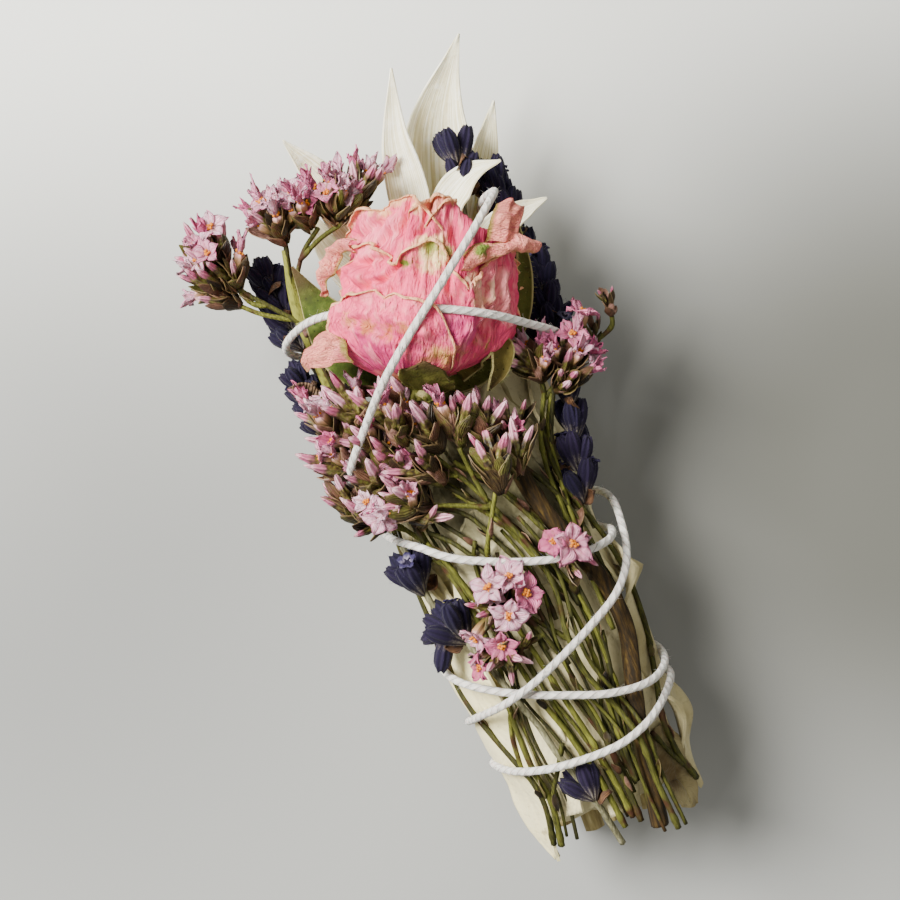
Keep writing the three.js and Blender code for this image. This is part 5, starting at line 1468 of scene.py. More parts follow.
def down_on(skin, count, seed, length=(0.35, 0.75), lean=0.7, thick=0.022, foot=0.05, top=0.98):
    """Short hairs over a skin given as radius and height: each starts on it at a golden angle, points out,
    and leans to its tip."""
    draw = np.random.default_rng(seed)
    k = np.arange(count)
    a = np.radians(GOLDEN_ANGLE) * k
    v = foot + (top - foot) * ((k + 0.5) / count)
    radius, height = skin(a, v)
    start = np.stack([radius * np.cos(a), radius * np.sin(a), height], -1)
    out = np.stack([np.cos(a), np.sin(a), 0 * a], -1)
    way = unit(out + [0, 0, lean] + 0.35 * draw.normal(size=(count, 3)))
    reach = draw.uniform(*length, (count, 1, 1)) * np.linspace(-0.1, 1, 3)[None, :, None]
    line = start[:, None] + reach * way[:, None] + 0.3 * np.abs(reach) ** 2 * np.array([0, 0, 1])
    side = unit(np.cross(way, [0.3, 0.2, 1]))
    return bristles(line, side, np.cross(way, side), thick * np.array([1, 0.8, 0.25]))


def dried_flower(count, draw):
    """A lavender flower's crumpled lips, as sheets: u across and v out of the mouth, curled back by v
    squared."""
    u, v = np.meshgrid(np.linspace(-1, 1, 5), np.linspace(0, 1, 5))
    turn = draw.uniform(0, FULL_TURN, (count, 1, 1, 1)) + 1.25 * np.arange(5)[:, None, None]
    width = eased([0.2, 0.45, 0.62, 0.5, 0.2], v)
    way = 0.25 + 1.1 * v**1.4
    rise = CUP_LENGTH - 0.5 + 1.5 * v - 0.9 * v**2 + 0.2 * np.sin(6 * u + 9 * v)
    x = way * np.cos(turn) - u * width * np.sin(turn)
    y = way * np.sin(turn) + u * width * np.cos(turn)
    return np.stack([x, y, rise + 0 * x + draw.uniform(-0.3, 0.3, (count, 5, 1, 1))], -1)


def downy(a, way):
    """A lavender stem's section: square with soft corners."""
    return 1 + 0.1 * np.cos(4 * a)


lavender_stem = Finish("lavender_stem", Roughness=0.85, Specular_IOR_Level=0.25)
grain = lavender_stem.noise(0.3, 3, 0.6, stretch=(1, 8, 1))
lavender_stem.base = lavender_stem.ramp(grain, (0.3, "45412a"), (0.5, "6f6c50"), (0.7, "989378"))
lavender_stem.coat((grain, 0.1))

navy = Finish("lavender_cup", Roughness=0.8, Specular_IOR_Level=0.15, Sheen_Weight=0.04)
cup_ribs = (navy.place(0) * (16 * math.pi)).cosine()
fuzz = navy.noise(0.2, 3, 0.6, stretch=(1, 1.6, 1))
woolly_foot = navy.mix(navy.band(cup_ribs, -0.6, 0.6), "453c40", "8d8476")
navy.base = navy.mix(navy.tone(), "19142b", "221931")
navy.tint("0b0916", cup_ribs, -0.2, -1.0, 0.5)
navy.tint(woolly_foot, navy.place(1) + (fuzz - 0.5) * 0.5, 0.48, 0.1)
navy.tint("443d5c", fuzz, 0.55, 0.75, 0.16)
navy.coat((cup_ribs, 0.1), (fuzz, 0.1))

wool = Finish("lavender_down", Roughness=0.8, Specular_IOR_Level=0.1)
wool.base = wool.mix(wool.tone(), "211c38", "18142a")
wool.tint("4c4560", wool.place(1), 0.0, 1.0)
wool.coat()

flower = Finish("lavender_flower", Roughness=0.6)
flower.base = flower.mix(flower.noise(0.6), "6b6078", "8d8396")
flower.tint("2b2348", flower.place(1), 0.15, 0.6)
flower.coat((flower.noise(0.3), 0.08))

papery = Finish("brown_bract", Roughness=0.7)
papery.base = papery.ramp(papery.noise(0.9, 3), (0.3, "2f1c0e"), (0.55, "5a3a20"), (0.75, "805c36"))
papery.coat(((papery.place(0) * 60.0).sine(), 0.05))


def bract_leaf(count, draw):
    """Broad papery bracts: cupped discs drawn out to a point, u across and v from the stem outward."""
    u, v = np.meshgrid(np.linspace(-1, 1, 7), np.linspace(0, 1, 7))
    width = eased([0.4, 1.2, 1.5, 1.25, 0.75, 0.08], v) * draw.uniform(0.8, 1.1, (count, 1, 1))
    reach = draw.uniform(2.6, 3.6, (count, 1, 1))
    rise = (0.3 + 0.5 * v) * u**2 + 0.25 * np.sin(5 * v + draw.uniform(0, 6, (count, 1, 1)))
    return np.stack([rise + 0 * v, u * width, v * reach], -1)


steps = np.array([0, 0.12, 0.28, 0.45, 0.62, 0.8, 0.92, 1.0])
a, v = np.meshgrid(2 * math.pi * np.arange(16) / 16, steps)
radius, height = cup_skin(a, v)
cup = np.stack([radius * np.cos(a), radius * np.sin(a), height], -1)
cup_hairs = down_on(cup_skin, CUP_HAIRS, 71)

for number, (stem, rows) in enumerate(SPRIGS, 1):
    draw = np.random.default_rng(700 + number)
    feet, ways, sizes, bloom, bract_feet, bract_ways = [], [], [], [], [], []
    for foot, tip, whorls, each, lean, size, share in rows:
        foot, axis = np.array(foot, float), np.subtract(tip, foot)
        for k in range(whorls):
            part = k / max(1, whorls - 1)
            turns = 2 * math.pi * (np.arange(each) + 0.5 * (k % 2) + 0.25 * draw.normal(size=each)) / each
            leans = lean * (1 - 0.5 * part) + 6 * draw.normal(size=each)
            aims = leaning(axis, turns, leans)
            feet.append(foot + axis * part + 0.35 * aims + 0.35 * draw.normal(size=(each, 1)) * unit(axis))
            ways.append(aims)
            sizes.append(size * (1 - 0.16 * part) * draw.uniform(0.86, 1.06, each))
            bloom.append(draw.uniform(0, 1, each) < share)
            lower = leaning(axis, draw.uniform(0, FULL_TURN, 2), np.array([62.0, 74.0]))
            bract_feet.append(foot + axis * part + 0.2 * lower)
            bract_ways.append(lower)
    feet, ways, sizes, bloom = (np.concatenate(a) for a in (feet, ways, sizes, bloom))
    n = len(feet)
    spins, tone = draw.uniform(0, FULL_TURN, n), draw.uniform(0, 1, n)
    hairs = stand(cup_hairs[None], feet, ways, spins, sizes)
    parts = [
        (tube(smooth_path(stem, 0.6), 0.5, 10, (0.05, 0, 1), 0.5, downy), lavender_stem),
        (ring_body(stand(cup[None], feet, ways, spins, sizes), tone), navy),
        (ring_body(hairs, np.repeat(tone, CUP_HAIRS)), wool),
    ]
    spots, aims = np.concatenate(bract_feet), np.concatenate(bract_ways)
    bracts = bract_leaf(len(spots), draw)
    bracts = stand(bracts, spots, aims, draw.uniform(0, FULL_TURN, len(spots)), np.ones(len(spots)))
    parts.append((sheet(bracts, 0.08), papery))
    if bloom.any():
        lips = dried_flower(bloom.sum(), draw)
        lips = stand(lips, feet[bloom], ways[bloom], spins[bloom], sizes[bloom])
        parts.append((sheet(lips, 0.08), flower))
    make_piece(f"lavender_{number}", parts, "lavender", f"lavender_sprig_{number}")

# Rose stem.
# The rose's stem is a woody shoot, ridged and brown with green left in it, cut off with the others at the
# foot. At its top it swells into a downy green hip with five sepals: some hug the bloom, others have dried
# spread out or curled.
ROSE_FOOT = np.array([-3.0, 15.2, 28.6])
ROSE_AXIS = unit([0.42, 0.9, 0.02])
ROSE_FRONT = unit(np.array([0, 0, 1]) - ROSE_AXIS[2] * ROSE_AXIS)
ROSE_RIGHT = np.cross(ROSE_AXIS, ROSE_FRONT)
ROSE_FLAT = 0.76  # its depth over its width, where the string presses it
ROSE_STEM_RADIUS = 1.3
ROSE_STEM_LIFT = 3.4
SEPAL_HAIRS = 340
SEPAL_ROWS, SEPAL_COLS = 44, 19
BUD_SKIN = (
    [-1.0, 0.5, 2, 4, 7, 11, 15, 19, 22.5, 25, 27.5],
    [1.5, 6.0, 9.6, 12.2, 13.6, 14.0, 13.9, 13.5, 13.0, 12.2, 11.0],
)
SEPALS = [
    # line from root to tip, half widths along it, the way the inner side looks, cup, twist in degrees, tone
    (
        [
            (-4.4, 15.2, 26.6), (-8.8, 19.4, 25.4), (-12.8, 26.6, 25.0), (-14.6, 32.6, 24.4),
            (-15.8, 38.8, 24.0),
        ],
        [1.4, 3.4, 4.6, 4.7, 3.3, 1.5, 0.1], (-0.15, 0, 1), -0.2, 0, 0.0,
    ),
    (
        [(1.6, 15.4, 27.4), (5.8, 17.4, 29.6), (8.4, 16.8, 30.8), (7.6, 14.2, 30.2), (5.0, 11.6, 28.6)],
        [1.4, 2.0, 2.2, 2.0, 1.4, 0.2], (0.5, 0.2, 1), 0.5, 25, 1.0,
    ),
    (
        [(-0.6, 14.2, 26.4), (5.0, 15.0, 24.8), (11.2, 18.4, 25.4), (15.6, 26, 26.4), (17.6, 34.6, 27.0)],
        [1.4, 1.9, 2.1, 1.7, 1.1, 0.1], (0.75, -0.2, 0.5), 0.5, 30, 0.6,
    ),
    (
        [(-3.4, 14.6, 26.0), (-3.6, 15.8, 21.4), (-1.6, 20.4, 18.6), (1.0, 25.6, 17.8)],
        [1.4, 2.4, 2.3, 1.5, 0.1], (0, -0.3, -1), -0.3, 0, 0.2,
    ),
]


def in_rose(turn, radius, height):
    """The point at a turn in degrees, radius and height on the rose's own axis, flattened towards its
    front."""
    a = np.radians(turn)[..., None]
    radius, height = np.asarray(radius)[..., None], np.asarray(height)[..., None]
    front = ROSE_FLAT * radius * np.cos(a) * ROSE_FRONT
    return ROSE_FOOT + height * ROSE_AXIS + front + radius * np.sin(a) * ROSE_RIGHT


def bark(a, way):
    """The shoot's section: five uneven ridges, and a leaf scar's swelling now and then."""
    ridges = 0.06 * np.cos(5 * a + 0.05 * way) + 0.035 * np.cos(9 * a + 1 + 0.11 * way)
    scars = 0.2 * np.exp(-((((way + 9) % 27) - 13.5) ** 2) / 1.2) * (0.6 + 0.4 * np.cos(a - 0.2 * way))
    return 1 + ridges + scars


def hip_skin(a, v):
    """Radius and height of the hip at each turn and share of its length: an urn, widest past its middle."""
    return eased([0.9, 1.9, 2.9, 3.5, 3.3, 2.4, 1.0], v) * (1 + 0.04 * np.cos(5 * a)), -3.5 + 4.2 * v


stem_top = [tuple(ROSE_FOOT - 1.2 * ROSE_AXIS), (-0.9, 12.4, 28.0), (2.2, 8.6, 26.6)]
stem_way = [
    (4.7, 3), (5.8, -4), (9, -14), (11.6, -21), (12.4, -28), (11, -34.4), (9.2, -41.5), (8.2, -48.8),
    (7, -57.2),
]
stem_route = stem_top + lay_on(ROSE_STEM_LIFT, *stem_way)
wood = Finish("rose_wood", Roughness=0.8, Specular_IOR_Level=0.25)
bark_lines = wood.noise(0.5, 4, 0.65, stretch=(1, 9, 1))
wood.base = wood.ramp(bark_lines, (0.3, "110b03"), (0.44, "241906"), (0.57, "38280b"), (0.7, "4e3d15"))
wood.tint("48501c", wood.noise(7, 2, stretch=(1, 2, 1)), 0.52, 0.66, 0.5)
wood.coat((bark_lines, 0.22), (wood.noise(0.25, 2, stretch=(1, 4, 1)), 0.06))

sepal_green = Finish("sepal_green", Roughness=0.8, Specular_IOR_Level=0.2)
dots = sepal_green.add("TexVoronoi", {"Vector": sepal_green.where(), "Scale": 1 / 0.9}, "Distance")
withered = sepal_green.mix(sepal_green.noise(1.5), "3a3212", "7c6e34")
sepal_green.base = sepal_green.ramp(
    sepal_green.noise(2.2, 3, 0.6), (0.25, "1c2405"), (0.5, "38460f"), (0.75, "566026")
)
sepal_green.tint(withered, sepal_green.tone(), 0.3, 1.0)
sepal_green.tint("1a2206", dots, 0.2, 0.06)
sepal_green.tint("40301a", sepal_green.place(1), 0.72, 1.0)
sepal_green.tint("9c9160", sepal_green.from_middle(), 0.45, 0.495)
sepal_green.coat((dots, 0.06), (sepal_green.noise(0.3, 3), 0.12))

sepal_down = Finish("sepal_down", Roughness=0.85)
sepal_down.base = sepal_down.mix(sepal_down.place(1), "6a7430", "a8a866")
sepal_down.coat()

a, v = np.meshgrid(2 * math.pi * np.arange(28) / 28, np.linspace(0, 1, 14))
radius, height = hip_skin(a, v)
hip = in_rose(np.degrees(a), radius / np.hypot(ROSE_FLAT * np.cos(a), np.sin(a)) ** 0.5, height)
u, v = np.meshgrid(np.linspace(-1, 1, 34), np.linspace(0, 1, 26))
around = -2 + 46 * u * eased([0.7, 0.95, 1.0, 0.9, 0.6, 0.12], v)
rise = -2.2 + 5.2 * v - 0.9 * u**2 + 0.35 * waves(np.stack([around / 5, 6 * v, 0 * v], -1), 4, 515)
out = 1.9 + 1.03 * np.interp(rise - 0.3, *BUD_SKIN)
out = out + 0.3 * waves(np.stack([around / 4, 8 * v, 0 * v], -1), 3, 516)
hood = in_rose(around, out, rise)
rose_parts = [
    (sheet(clear_of_string(hood), 0.3, 0.65), sepal_green),
    (tube(smooth_path(stem_route, 0.45), ROSE_STEM_RADIUS, 22, (0.05, 0, 1), section=bark), wood),
    (ring_body(hip[:, ::-1]), sepal_green),
]
sepal_hairs = []
for k, (line, widths, face, cup, twist, tone) in enumerate(SEPALS):
    grid = free_leaf(line, widths, face, cup, twist, 500 + k, rows=SEPAL_ROWS, cols=SEPAL_COLS, wave=0.5)
    grid = clear_of_string(grid) if k == 0 else grid
    rose_parts.append((sheet(grid, 0.3, tone), sepal_green))
    draw = np.random.default_rng(520 + k)
    row = draw.integers(1, SEPAL_ROWS - 1, SEPAL_HAIRS)
    col = draw.integers(1, SEPAL_COLS - 1, SEPAL_HAIRS)
    edge = np.arange(SEPAL_HAIRS) % 2 == 0
    col[edge] = np.where(draw.uniform(0, 1, edge.sum()) < 0.5, 0, SEPAL_COLS - 1)
    normal = unit(np.cross(np.gradient(grid, axis=1), np.gradient(grid, axis=0)))
    outward = np.sign(np.linspace(-1, 1, SEPAL_COLS) + 1e-3)[None, :, None]
    across_leaf = unit(np.gradient(grid, axis=1)) * outward
    off_skin = normal[row, col] * draw.choice([-1, 1], (SEPAL_HAIRS, 1))
    way = np.where(edge[:, None], across_leaf[row, col], off_skin)
    way = unit(way + 0.5 * draw.normal(size=way.shape))
    side = unit(np.cross(way, [0.3, 0.5, 0.8]))
    reach = draw.uniform(0.25, 0.7, (SEPAL_HAIRS, 1, 1)) * np.linspace(0, 1, 2)[None, :, None]
    hair = grid[row, col][:, None] + reach * way[:, None]
    sepal_hairs.append(bristles(hair, side, np.cross(way, side), [0.02, 0.008]))
rose_parts.append((ring_body(np.concatenate(sepal_hairs)), sepal_down))
make_piece("rose_stem_and_sepals", rose_parts, "rose_green", "rose_stem")

# Rose bloom.
# A dried pink rose on its side. Its petals are thin silky skins laid round one another in a bud. Drying has
# crumpled them along their veins, rolled their lips outward and bleached those to peach, and left cream and
# green at their feet.
PETAL_THICKNESS = 0.15
SKIN_PER_DEGREE = 0.24  # millimetres round the bloom
PETALS = [
    # middle and half width in degrees round the rose, layer as a share of the bud's skin, lip heights from
    # left to right, lip's roll, ruffle, tuck of its right edge, tone, rows
    (0, 75, 0.2, [20, 22, 21], 0.5, 0.2, 0.2, 0.15, 18),
    (137, 80, 0.3, [20.5, 22.5, 21], 0.6, 0.25, 0.3, 0.2, 18),
    (-85, 75, 0.4, [21, 23, 21.5], 0.7, 0.3, 0.4, 0.1, 20),
    (52, 70, 0.49, [21.5, 23.5, 22], 0.7, 0.35, 0.4, 0.2, 20),
    (-170, 68, 0.57, [22, 24, 22.5], 0.8, 0.4, 0.4, 0.15, 20),
    (-33, 64, 0.65, [22.5, 24.5, 23.5], 0.8, 0.4, 0.4, 0.2, 22),
    (104, 62, 0.72, [22.5, 24.8, 23.5, 22.5], 0.9, 0.5, 0.5, 0.15, 24),
    (-118, 60, 0.77, [21, 23.6, 23.2, 21.5], 0.9, 0.5, 0.5, 0.25, 26),
    (178, 60, 0.82, [20, 22.5, 23, 21], 1.0, 0.5, 0.5, 0.2, 28),
    (-6, 20, 0.83, [24.8, 26.2, 26.6, 25.6], 2.4, 0.5, 0.2, 1.0, 34),
    (-49, 53, 0.9, [18.2, 20.4, 22.9, 23.9, 24.0, 25.1, 26.5, 24.4, 23.4], 1.2, 0.4, -0.2, 0.3, 68),
    (27, 40, 0.885, [23.6, 25.8, 26.8, 26.9, 25.4, 22.6, 20], 1.4, 0.5, 0.3, 0.25, 56),
    (100, 48, 0.86, [21.5, 23.4, 22.4, 21.5, 20.4], 1.0, 0.6, 0.5, 0.2, 34),
    (-124, 48, 0.9, [17, 19, 20.5, 20, 18], 1.2, 0.6, 0.5, 0.3, 36),
    (168, 52, 0.9, [17.5, 20, 19.2, 20.6, 18], 1.4, 0.6, 0.5, 0.25, 36),
    (64, 46, 0.925, [16.2, 18.0, 20.2, 21.6, 20.8, 18.6, 16.6], 1.4, 0.4, 0.3, 0.32, 54),
    (
        -33, 55, 0.965,
        [15.4, 17.4, 18.7, 18.9, 18.9, 18.5, 18.0, 16.9, 18.6, 20.1, 19.6, 17.2, 15.4],
        1.5, 0.4, 0.2, 0.4, 78,
    ),
    (130, 46, 0.95, [13, 15.6, 15.0, 16.4, 14], 1.6, 0.6, 0.5, 0.3, 36),
    (-150, 52, 0.98, [11.5, 14.8, 13.6, 14.6, 12], 1.5, 0.6, 0.5, 0.3, 36),
]
OVER_PETAL = (
    -32, 56, 1.035,
    [5.4, 8.0, 10.4, 11.7, 12.2, 12.1, 11.8, 11.8, 11.6, 7.4, 4.6],
    1.6, 0.3, 0.1, 0.5, 76,
)
CREASES = [
    # grooves where the dried skin drew in: from turn and height, to turn and height, width, depth
    (-68, 5.6, -44, 7.9, 0.7, 1.1),
    (-44, 7.9, -30, 6.9, 0.7, 1.2),
    (-30, 6.9, -14, 6.6, 0.8, 1.0),
    (-14, 6.6, 20, 4.0, 0.7, 0.6),
    (-10, 8.4, 12, 6.2, 0.7, 0.5),
    (-72, 17.0, -50, 16.1, 0.7, 0.7),
    (-50, 16.1, -34, 17.0, 0.7, 0.7),
    (-76, 13.9, -46, 13.0, 0.7, 0.8),
    (-46, 13.0, -36, 13.8, 0.7, 0.6),
    (-35, 13.9, -20, 16.6, 0.6, 0.9),
    (-62, 11.8, -36, 12.0, 0.6, 0.5),
    (-54, 21.4, -36, 23.6, 0.8, 0.8),
    (-40, 19.6, -22, 22.8, 0.8, 0.7),
    (-68, 20.2, -60, 23.0, 0.8, 0.8),
    (-14, 21.0, -12, 25.0, 0.8, 1.3),
    (14, 20.0, 8, 25.4, 0.9, 0.9),
    (20, 15.6, 34, 7.0, 0.8, 0.9),
    (32, 17.0, 44, 8.6, 0.8, 0.8),
    (48, 17.6, 54, 9.0, 0.8, 0.8),
    (8, 16.8, 20, 9.0, 0.8, 0.5),
]
FLAPS = [
    # rows of places as turn, radius and height, from where the flap folds to its free edge
    # lower left
    [
        [(-64, 14.2, 6.2), (-55, 14.3, 4.6), (-52, 13.6, 2.2)],
        [(-73, 15.6, 6.4), (-65, 16.0, 4.2), (-60, 15.2, 1.8)],
        [(-79, 17.2, 4.8), (-75, 17.7, 2.9), (-72, 17.3, 1.0)],
        [(-84, 18.6, 2.2), (-83, 18.8, 1.4), (-82, 18.6, 0.6)],
    ],
    # left curl
    [
        [(-60, 13.8, 18.2), (-70, 13.9, 18.0), (-76, 14.2, 16.4), (-81, 15.2, 14.4), (-85, 16.3, 12.4)],
        [(-60, 14.7, 18.9), (-69, 15.3, 18.8), (-76, 16.1, 17.2), (-80, 16.9, 14.9), (-85, 17.0, 12.0)],
        [(-60, 14.2, 19.5), (-71, 14.9, 19.5), (-79, 16.4, 18.0), (-85, 17.2, 15.3), (-88, 16.6, 11.4)],
    ],
    # right
    [
        [(15, 13.2, 18.3), (25, 13.2, 19.9), (37, 13.4, 20.9), (52, 13.8, 22.4), (66, 14.2, 21.8)],
        [(14, 14.7, 17.2), (25, 15.1, 18.8), (38, 15.4, 20.2), (54, 15.7, 21.4), (67, 15.4, 21.4)],
        [(13.5, 14.3, 15.6), (24, 14.6, 17.1), (38, 15.1, 18.8), (57, 15.6, 19.9), (69, 15.2, 20.7)],
    ],
    # top right
    [
        [(31, 12.2, 20.6), (32, 12.2, 23.6), (36, 12.4, 26.0)],
        [(37, 13.6, 21.0), (39, 13.9, 24.4), (43, 13.8, 27.1)],
        [(47, 14.0, 21.4), (51, 14.2, 24.6), (54, 14.1, 26.4)],
        [(54, 12.8, 21.6), (56, 12.9, 24.2), (57, 13.0, 25.6)],
    ],
]


def crumple(around, rise, seed):
    """Creases of dried skin at a turn and height. Swells and sharp ridges that all layers share, each ridge
    one less twice the absolute value of a smooth wave; then a layer's own small ridges; then the listed
    grooves."""
    a = np.radians(around)
    spot = np.stack([12 * np.sin(a), 12 * np.cos(a), rise], -1)
    folds = 0.7 * waves(spot, 8, 71) + 0.6 * (1 - 2 * np.abs(waves(spot * [1, 1, 0.5], 4.6, 72)))
    folds = folds + 0.3 * (1 - 2 * np.abs(waves(spot * [1, 1, 0.34], 2.2, seed)))
    folds = folds + 0.1 * (1 - 2 * np.abs(waves(spot * [1, 1, 0.22], 1.0, seed + 1)))
    across = SKIN_PER_DEGREE * np.asarray(around) + 0.5 * waves(spot, 3, 73)
    flat = np.stack([across, rise + 0.5 * waves(spot, 3, 74)], -1)
    for turn0, rise0, turn1, rise1, width, depth in CREASES:
        start = np.array([SKIN_PER_DEGREE * turn0, rise0])
        along = np.array([SKIN_PER_DEGREE * (turn1 - turn0), rise1 - rise0])
        share = np.clip((flat - start) @ along / (along @ along), 0, 1)
        away = np.linalg.norm(flat - start - share[..., None] * along, axis=-1)
        groove, rim = np.exp(-((away / width) ** 2)), np.exp(-(((away - 2.2 * width) / width) ** 2))
        folds = folds - depth * (groove - 0.45 * rim)
    return folds


def petal(turn, half, layer, lips, roll, ruffle, tuck, rows, seed):
    """A petal, u from -1 to 1 across it and v from foot to lip. Its radius is its layer's share of the
    bud's skin, less the tuck times u, plus creases and ruffles that grow towards the lip; the skin is drawn
    in on its right side. Past the roll's line it turns outward on an arc."""
    cols = rows + 1
    u, w = np.meshgrid(np.linspace(-1, 1, cols), np.linspace(0, 1, rows))
    v = 1 - (1 - w) ** 1.3
    rolled = roll * (0.8 + 0.35 * waves(np.stack([u * half / 5, 0 * u, 0 * u], -1), 4, seed + 6))
    arc = np.maximum(0.33 * rolled, 0.12)
    notches = waves(np.stack([u * half / 6, 0 * u, 0 * u], -1), 2.2, seed + 5)
    lip = eased(lips, 0.5 * (u + 1)) + 0.4 * notches
    lip = lip + rolled - arc - 1.6 * np.abs(u) ** 6
    height = -0.6 + (lip + 0.6) * v
    bend = np.maximum(0, rolled - (lip + 0.6) * (1 - v)) / arc
    rise = np.where(bend > 0, lip - rolled + arc * np.sin(bend), height)
    out = arc * (1 - np.cos(bend))
    around = turn + u * half * eased([0.55, 0.85, 0.98, 1.0, 0.98, 0.94], v)
    right = np.maximum(0, np.sin(np.radians(around)))
    skin = np.interp(rise - 2.6 * right, *BUD_SKIN) * (1 - 0.17 * right**2)
    own = np.stack([np.radians(around) * 12, 0.3 * rise, 0 * u + 3.0 * seed], -1)
    folds = crumple(around, rise, seed) * eased([0.3, 0.7, 1.0, 1.0], rise / 15)
    folds = folds + ruffle * waves(own, 5.5, seed + 4) * v**3
    radius = layer * skin + out - tuck * u * v + 1.05 * folds * min(1, 0.3 + layer * 0.75)
    return in_rose(around, np.maximum(0.3, radius), rise)


def flap(rows_of_places, seed, rows=30, cols=29):
    """A folded-back piece of a petal: a smooth patch through rows of places, with creases along the way
    out."""
    places = np.array(rows_of_places, float)
    v, u = np.linspace(0, 1, rows), np.linspace(0, 1, cols)
    grid = np.stack([eased(places[:, k], v) for k in range(places.shape[1])], 1)
    grid = np.stack([eased(grid[k], u) for k in range(rows)], 0)
    turn, radius, height = np.moveaxis(grid, -1, 0)
    spot = np.stack([np.radians(turn) * 12, height, 0 * turn + 7.0 * seed], -1)
    ridges = 0.3 * waves(spot, 5, seed) + 0.28 * (1 - 2 * np.abs(waves(spot, 2.6, seed + 1)))
    curl = 0.8 * (np.maximum(0, v - 0.8) / 0.2)[:, None] ** 2
    return in_rose(turn, radius + ridges - curl, height + 0.35 * waves(spot, 2.5, seed + 9))


# the one pass of the string that a petal folds over
string_ahead = np.gradient(string_steps, axis=0)
crossing_pass = (string_steps[:, 2] > 26) & (string_steps[:, 1] > 12) & (string_ahead[:, 1] < 0)


def on_front(side, height, out=13.0):
    """A place on the bloom's front, from its distance to the right of the axis and its height along it."""
    turn = math.degrees(math.asin(side / out))
    return tuple(float(c) for c in in_rose(np.array(turn), np.array(out), np.array(height)))


silk = Finish(
    "rose_petal",
    Roughness=0.65,
    Specular_IOR_Level=0.25,
    Subsurface_Weight=0.05,
    Subsurface_Radius=(1.0, 0.3, 0.3),
    Subsurface_Scale=0.5 * MM,
)
petal_veins = silk.noise(0.02, 4, 0.6, at=silk.on_body(1, 0.09, 1))
on_skin = silk.on_body(26.0, 6.0, 40.0)
puckers = abs(silk.noise(2.0, 3, 0.55, at=on_skin) - 0.5)
fine_puckers = abs(silk.noise(0.8, 3, 0.6, at=on_skin) - 0.5)
lip_line = silk.place(1) + (silk.noise(1.3, 3) - 0.5) * 0.2
dried_lip = silk.mix(silk.noise(0.9), "c87a4c", "f0be94")
green_foot = silk.mix(silk.noise(1.1), "b9924f", "7d7a35")
silk.base = silk.ramp(silk.tone(), (0.1, "98204a"), (0.35, "e84a70"), (0.65, "ee6280"), (1.0, "f39c80"))
for code, reach, side, height in (
    # deeper pink low down and in the middle
    ("bc3468", 7.0, -7, 2.8),
    ("c84074", 4.6, 4, 8.0),
    # cream heart
    ("ead08c", 3.6, -0.9, 18.4),
    # painted highlight at the right: paler pink on the right flank, which the light leaves in shade; clear
    # pink at the upper left
    ("f29494", 6.0, 9.4, 13.5),
    ("ef7088", 6.0, -9.6, 21.6),
    # cream at the top
    ("efd28a", 3.0, -2.2, 25.6),
    # withered patches at the right and the foot
    ("a5823c", 3.6, 9.2, 5.6),
    ("b98a4a", 4.4, 2.4, 3.0),
    ("e6b08c", 2.4, 6.8, 12.4),
    ("e2b496", 2.2, 8.8, 14.2),
    ("edc6a0", 1.8, 5.2, 15.0),
    ("d09a78", 2.2, 10.4, 9.8),
):
    silk.stain_and_painted_light(code, on_front(side, height), reach)
silk.tint("b22c5c", petal_veins, 0.45, 0.7, 0.45)
silk.tint("f29890", silk.noise(2.8, 4, 0.6), 0.54, 0.74, 0.4)
# painted light and shade on the crumpled skin: lighter where it is raised, darker pink in the crease lines
silk.tint("f7aaa0", puckers, 0.07, 0.16, 0.25)
silk.tint("b83058", puckers, 0.035, 0.0, 0.5)
silk.tint(dried_lip, lip_line, 0.86, 0.95)
silk.tint(green_foot, lip_line, 0.16, 0.02)
for code, reach, side, height, out in (
    # green left in the heart and on the right flap
    ("6d7a2c", 1.3, -4.3, 16.7, 13.0),
    ("8f9440", 1.5, -1.2, 19.2, 13.0),
    ("a39a52", 1.2, 1.0, 18.8, 13.0),
    ("6f8030", 1.9, 5.9, 19.4, 15.2),
    # brown spots along the fold of the lowest petal
    ("cf805c", 1.7, -11.4, 8.4, 14.2),
    ("bc6a48", 1.6, -9.0, 7.4, 14.2),
    ("b4603c", 1.7, -6.4, 6.8, 14.2),
    ("c67854", 1.5, -3.8, 7.4, 14.2),
    # brown foot
    ("6f6426", 2.2, 9.4, 6.6, 13.0),
    ("7a6428", 2.2, 5.6, 3.6, 13.0),
):
    silk.stain_and_painted_light(code, on_front(side, height, out), reach)
silk.coat((petal_veins, 0.12), (puckers, 1.5), (fine_puckers, 0.45), (silk.noise(0.22, 2), 0.03))

bloom_parts = []
for k, (turn, half, layer, lips, roll, ruffle, tuck, tone, rows) in enumerate(PETALS):
    grid = petal(turn, half, layer, lips, roll, ruffle, tuck, rows, 600 + 10 * k)
    bloom_parts.append((sheet(clear_of_string(grid, slope=0.8), PETAL_THICKNESS, tone), silk))
turn, half, layer, lips, roll, ruffle, tuck, tone, rows = OVER_PETAL
grid = petal(turn, half, layer, lips, roll, ruffle, tuck, rows, 901)
grid = clear_of_string(grid, slope=0.6, passes=~crossing_pass)
grid = clear_of_string(grid, slope=0.45, clear=0.1, passes=crossing_pass, still=0.2, far=6, side=OVER)
bloom_parts.append((sheet(grid, PETAL_THICKNESS, tone), silk))
for k, places in enumerate(FLAPS):
    bloom_parts.append((sheet(flap(places, 950 + 10 * k), PETAL_THICKNESS, 0.95), silk))
make_piece("rose_bloom_petals", bloom_parts, "rose_petal", "rose_bloom")

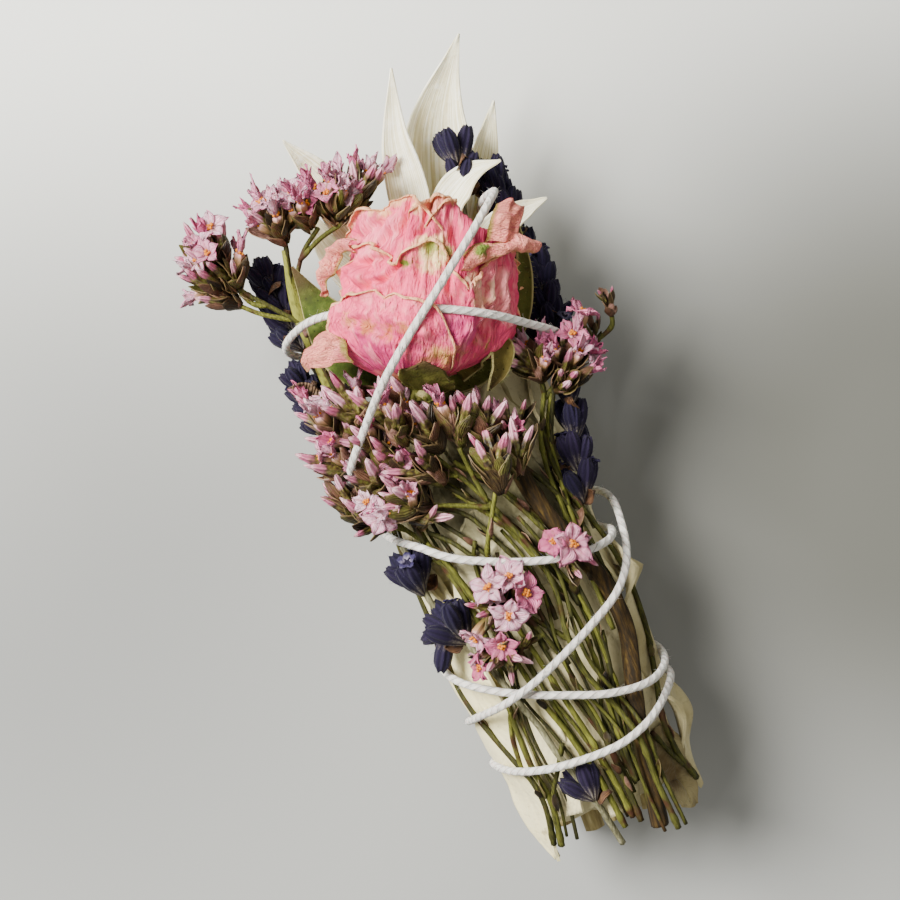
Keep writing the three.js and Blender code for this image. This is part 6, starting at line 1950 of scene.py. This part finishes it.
# Dry leaf.
# One thin dark leaf from the rose, dried and twisted, caught among the flowers at its left, with a smaller
# one by it.
dry = Finish("dry_brown_leaf", Roughness=0.7)
dry.base = dry.ramp(dry.noise(1.0, 3, 0.6), (0.3, "2e2014"), (0.5, "57402a"), (0.7, "8d7458"))
dry.coat(((dry.place(1) * 70.0).sine(), 0.06), (dry.noise(0.4), 0.1))
DRY_LEAVES = [
    # line from root to tip, half widths along it, the way the upper side looks, cup, twist in degrees
    (
        [(-8.6, 16.6, 26.2), (-11.4, 17.6, 27.0), (-15, 18.6, 26.4), (-18.8, 18.4, 25.0)],
        [0.4, 0.9, 1.2, 0.9, 0.1], (0, -0.6, 1), 0.5, 80,
    ),
    (
        [(-18.4, 19.6, 24.4), (-20.4, 20.8, 24.8), (-22.6, 22.0, 24.6)],
        [0.5, 1.3, 1.2, 0.1], (0.2, -0.2, 1), 0.4, 20,
    ),
]
make_piece(
    "dry_twisted_leaf",
    [
        (sheet(free_leaf(line, widths, face, cup, twist, 800 + k, rows=36, cols=11), 0.18, 0.5), dry)
        for k, (line, widths, face, cup, twist) in enumerate(DRY_LEAVES)
    ],
    "dry_leaf",
    "dry_leaf_1",
)

# Floor, light and camera.
# A pale table top, with light and shade painted into its colour. Soft daylight comes from the upper left,
# so the shade falls to the right. The camera looks straight down from arm's length.
CAMERA_PLACE = (-3.2, 5.4, 270.0)
CAMERA_TURN = -20.0  # of the picture about the line of sight, in degrees
CAMERA_LENS = 66.67  # focal length
TABLE_HALF = 3000.0
TABLE_DROP = 0.02  # so far below the bundle

sides = [(-1, -1), (1, -1), (1, 1), (-1, 1)]
corners = [(MM * TABLE_HALF * x, MM * TABLE_HALF * y, -MM * TABLE_DROP) for x, y in sides]
floor_mesh = bpy.data.meshes.new("table_top")
floor_mesh.from_pydata(corners, [], [(0, 1, 2, 3)])
table = Finish("pale_table", Roughness=0.75)
along = table.add("SeparateXYZ", {0: table.where()}, 1)
table.base = table.mix(table.noise(60, 2), "9a9b98", "9e9f9c")
# painted light and shade: paler at the flower end, a broad painted shadow darker at the right, and painted
# shade a little at the left
table.tint("dadbd5", along, 0.0, 90.0)
table.tint("4c4c43", table.distance((66, -22, 0)), 84.0, 16.8, 0.86)
table.tint("6e6f6d", table.distance((-80, 20, 0)), 95.0, 19.0, 0.6)
table.coat()
floor_mesh.materials.append(table.material)
floor = bpy.data.objects.new("table_top", floor_mesh)
bpy.context.collection.objects.link(floor)


def add_light(name, place, aim, size, power, tint):
    """A square area light at `place`, in metres, turned so that its -Z looks at `aim`."""
    lamp = bpy.data.lights.new(name, "AREA")
    lamp.size, lamp.energy, lamp.color = size, power, tint
    light = bpy.data.objects.new(name, lamp)
    bpy.context.collection.objects.link(light)
    light.location = place
    light.rotation_euler = (Vector(aim) - Vector(place)).to_track_quat("-Z", "Y").to_euler()


add_light("window", (-0.28, 0.27, 0.42), (0, 0, 0.01), 0.26, 11.9, (1.0, 0.985, 0.95))
add_light("room", (0.3, -0.2, 0.7), (0, 0, 0), 0.9, 1.8, (1.0, 0.98, 0.94))
world = bpy.data.worlds.new("room_light")
world.use_nodes = True
world.node_tree.nodes["Background"].inputs["Color"].default_value = (0.86, 0.85, 0.8, 1)
world.node_tree.nodes["Background"].inputs["Strength"].default_value = 0.39
bpy.context.scene.world = world

lens = bpy.data.cameras.new("overhead")
lens.lens = CAMERA_LENS
lens.clip_start, lens.clip_end = 0.01, 20
camera = bpy.data.objects.new("overhead", lens)
camera.location = [MM * c for c in CAMERA_PLACE]
camera.rotation_euler = (0, 0, math.radians(CAMERA_TURN))
bpy.context.collection.objects.link(camera)
bpy.context.scene.camera = camera
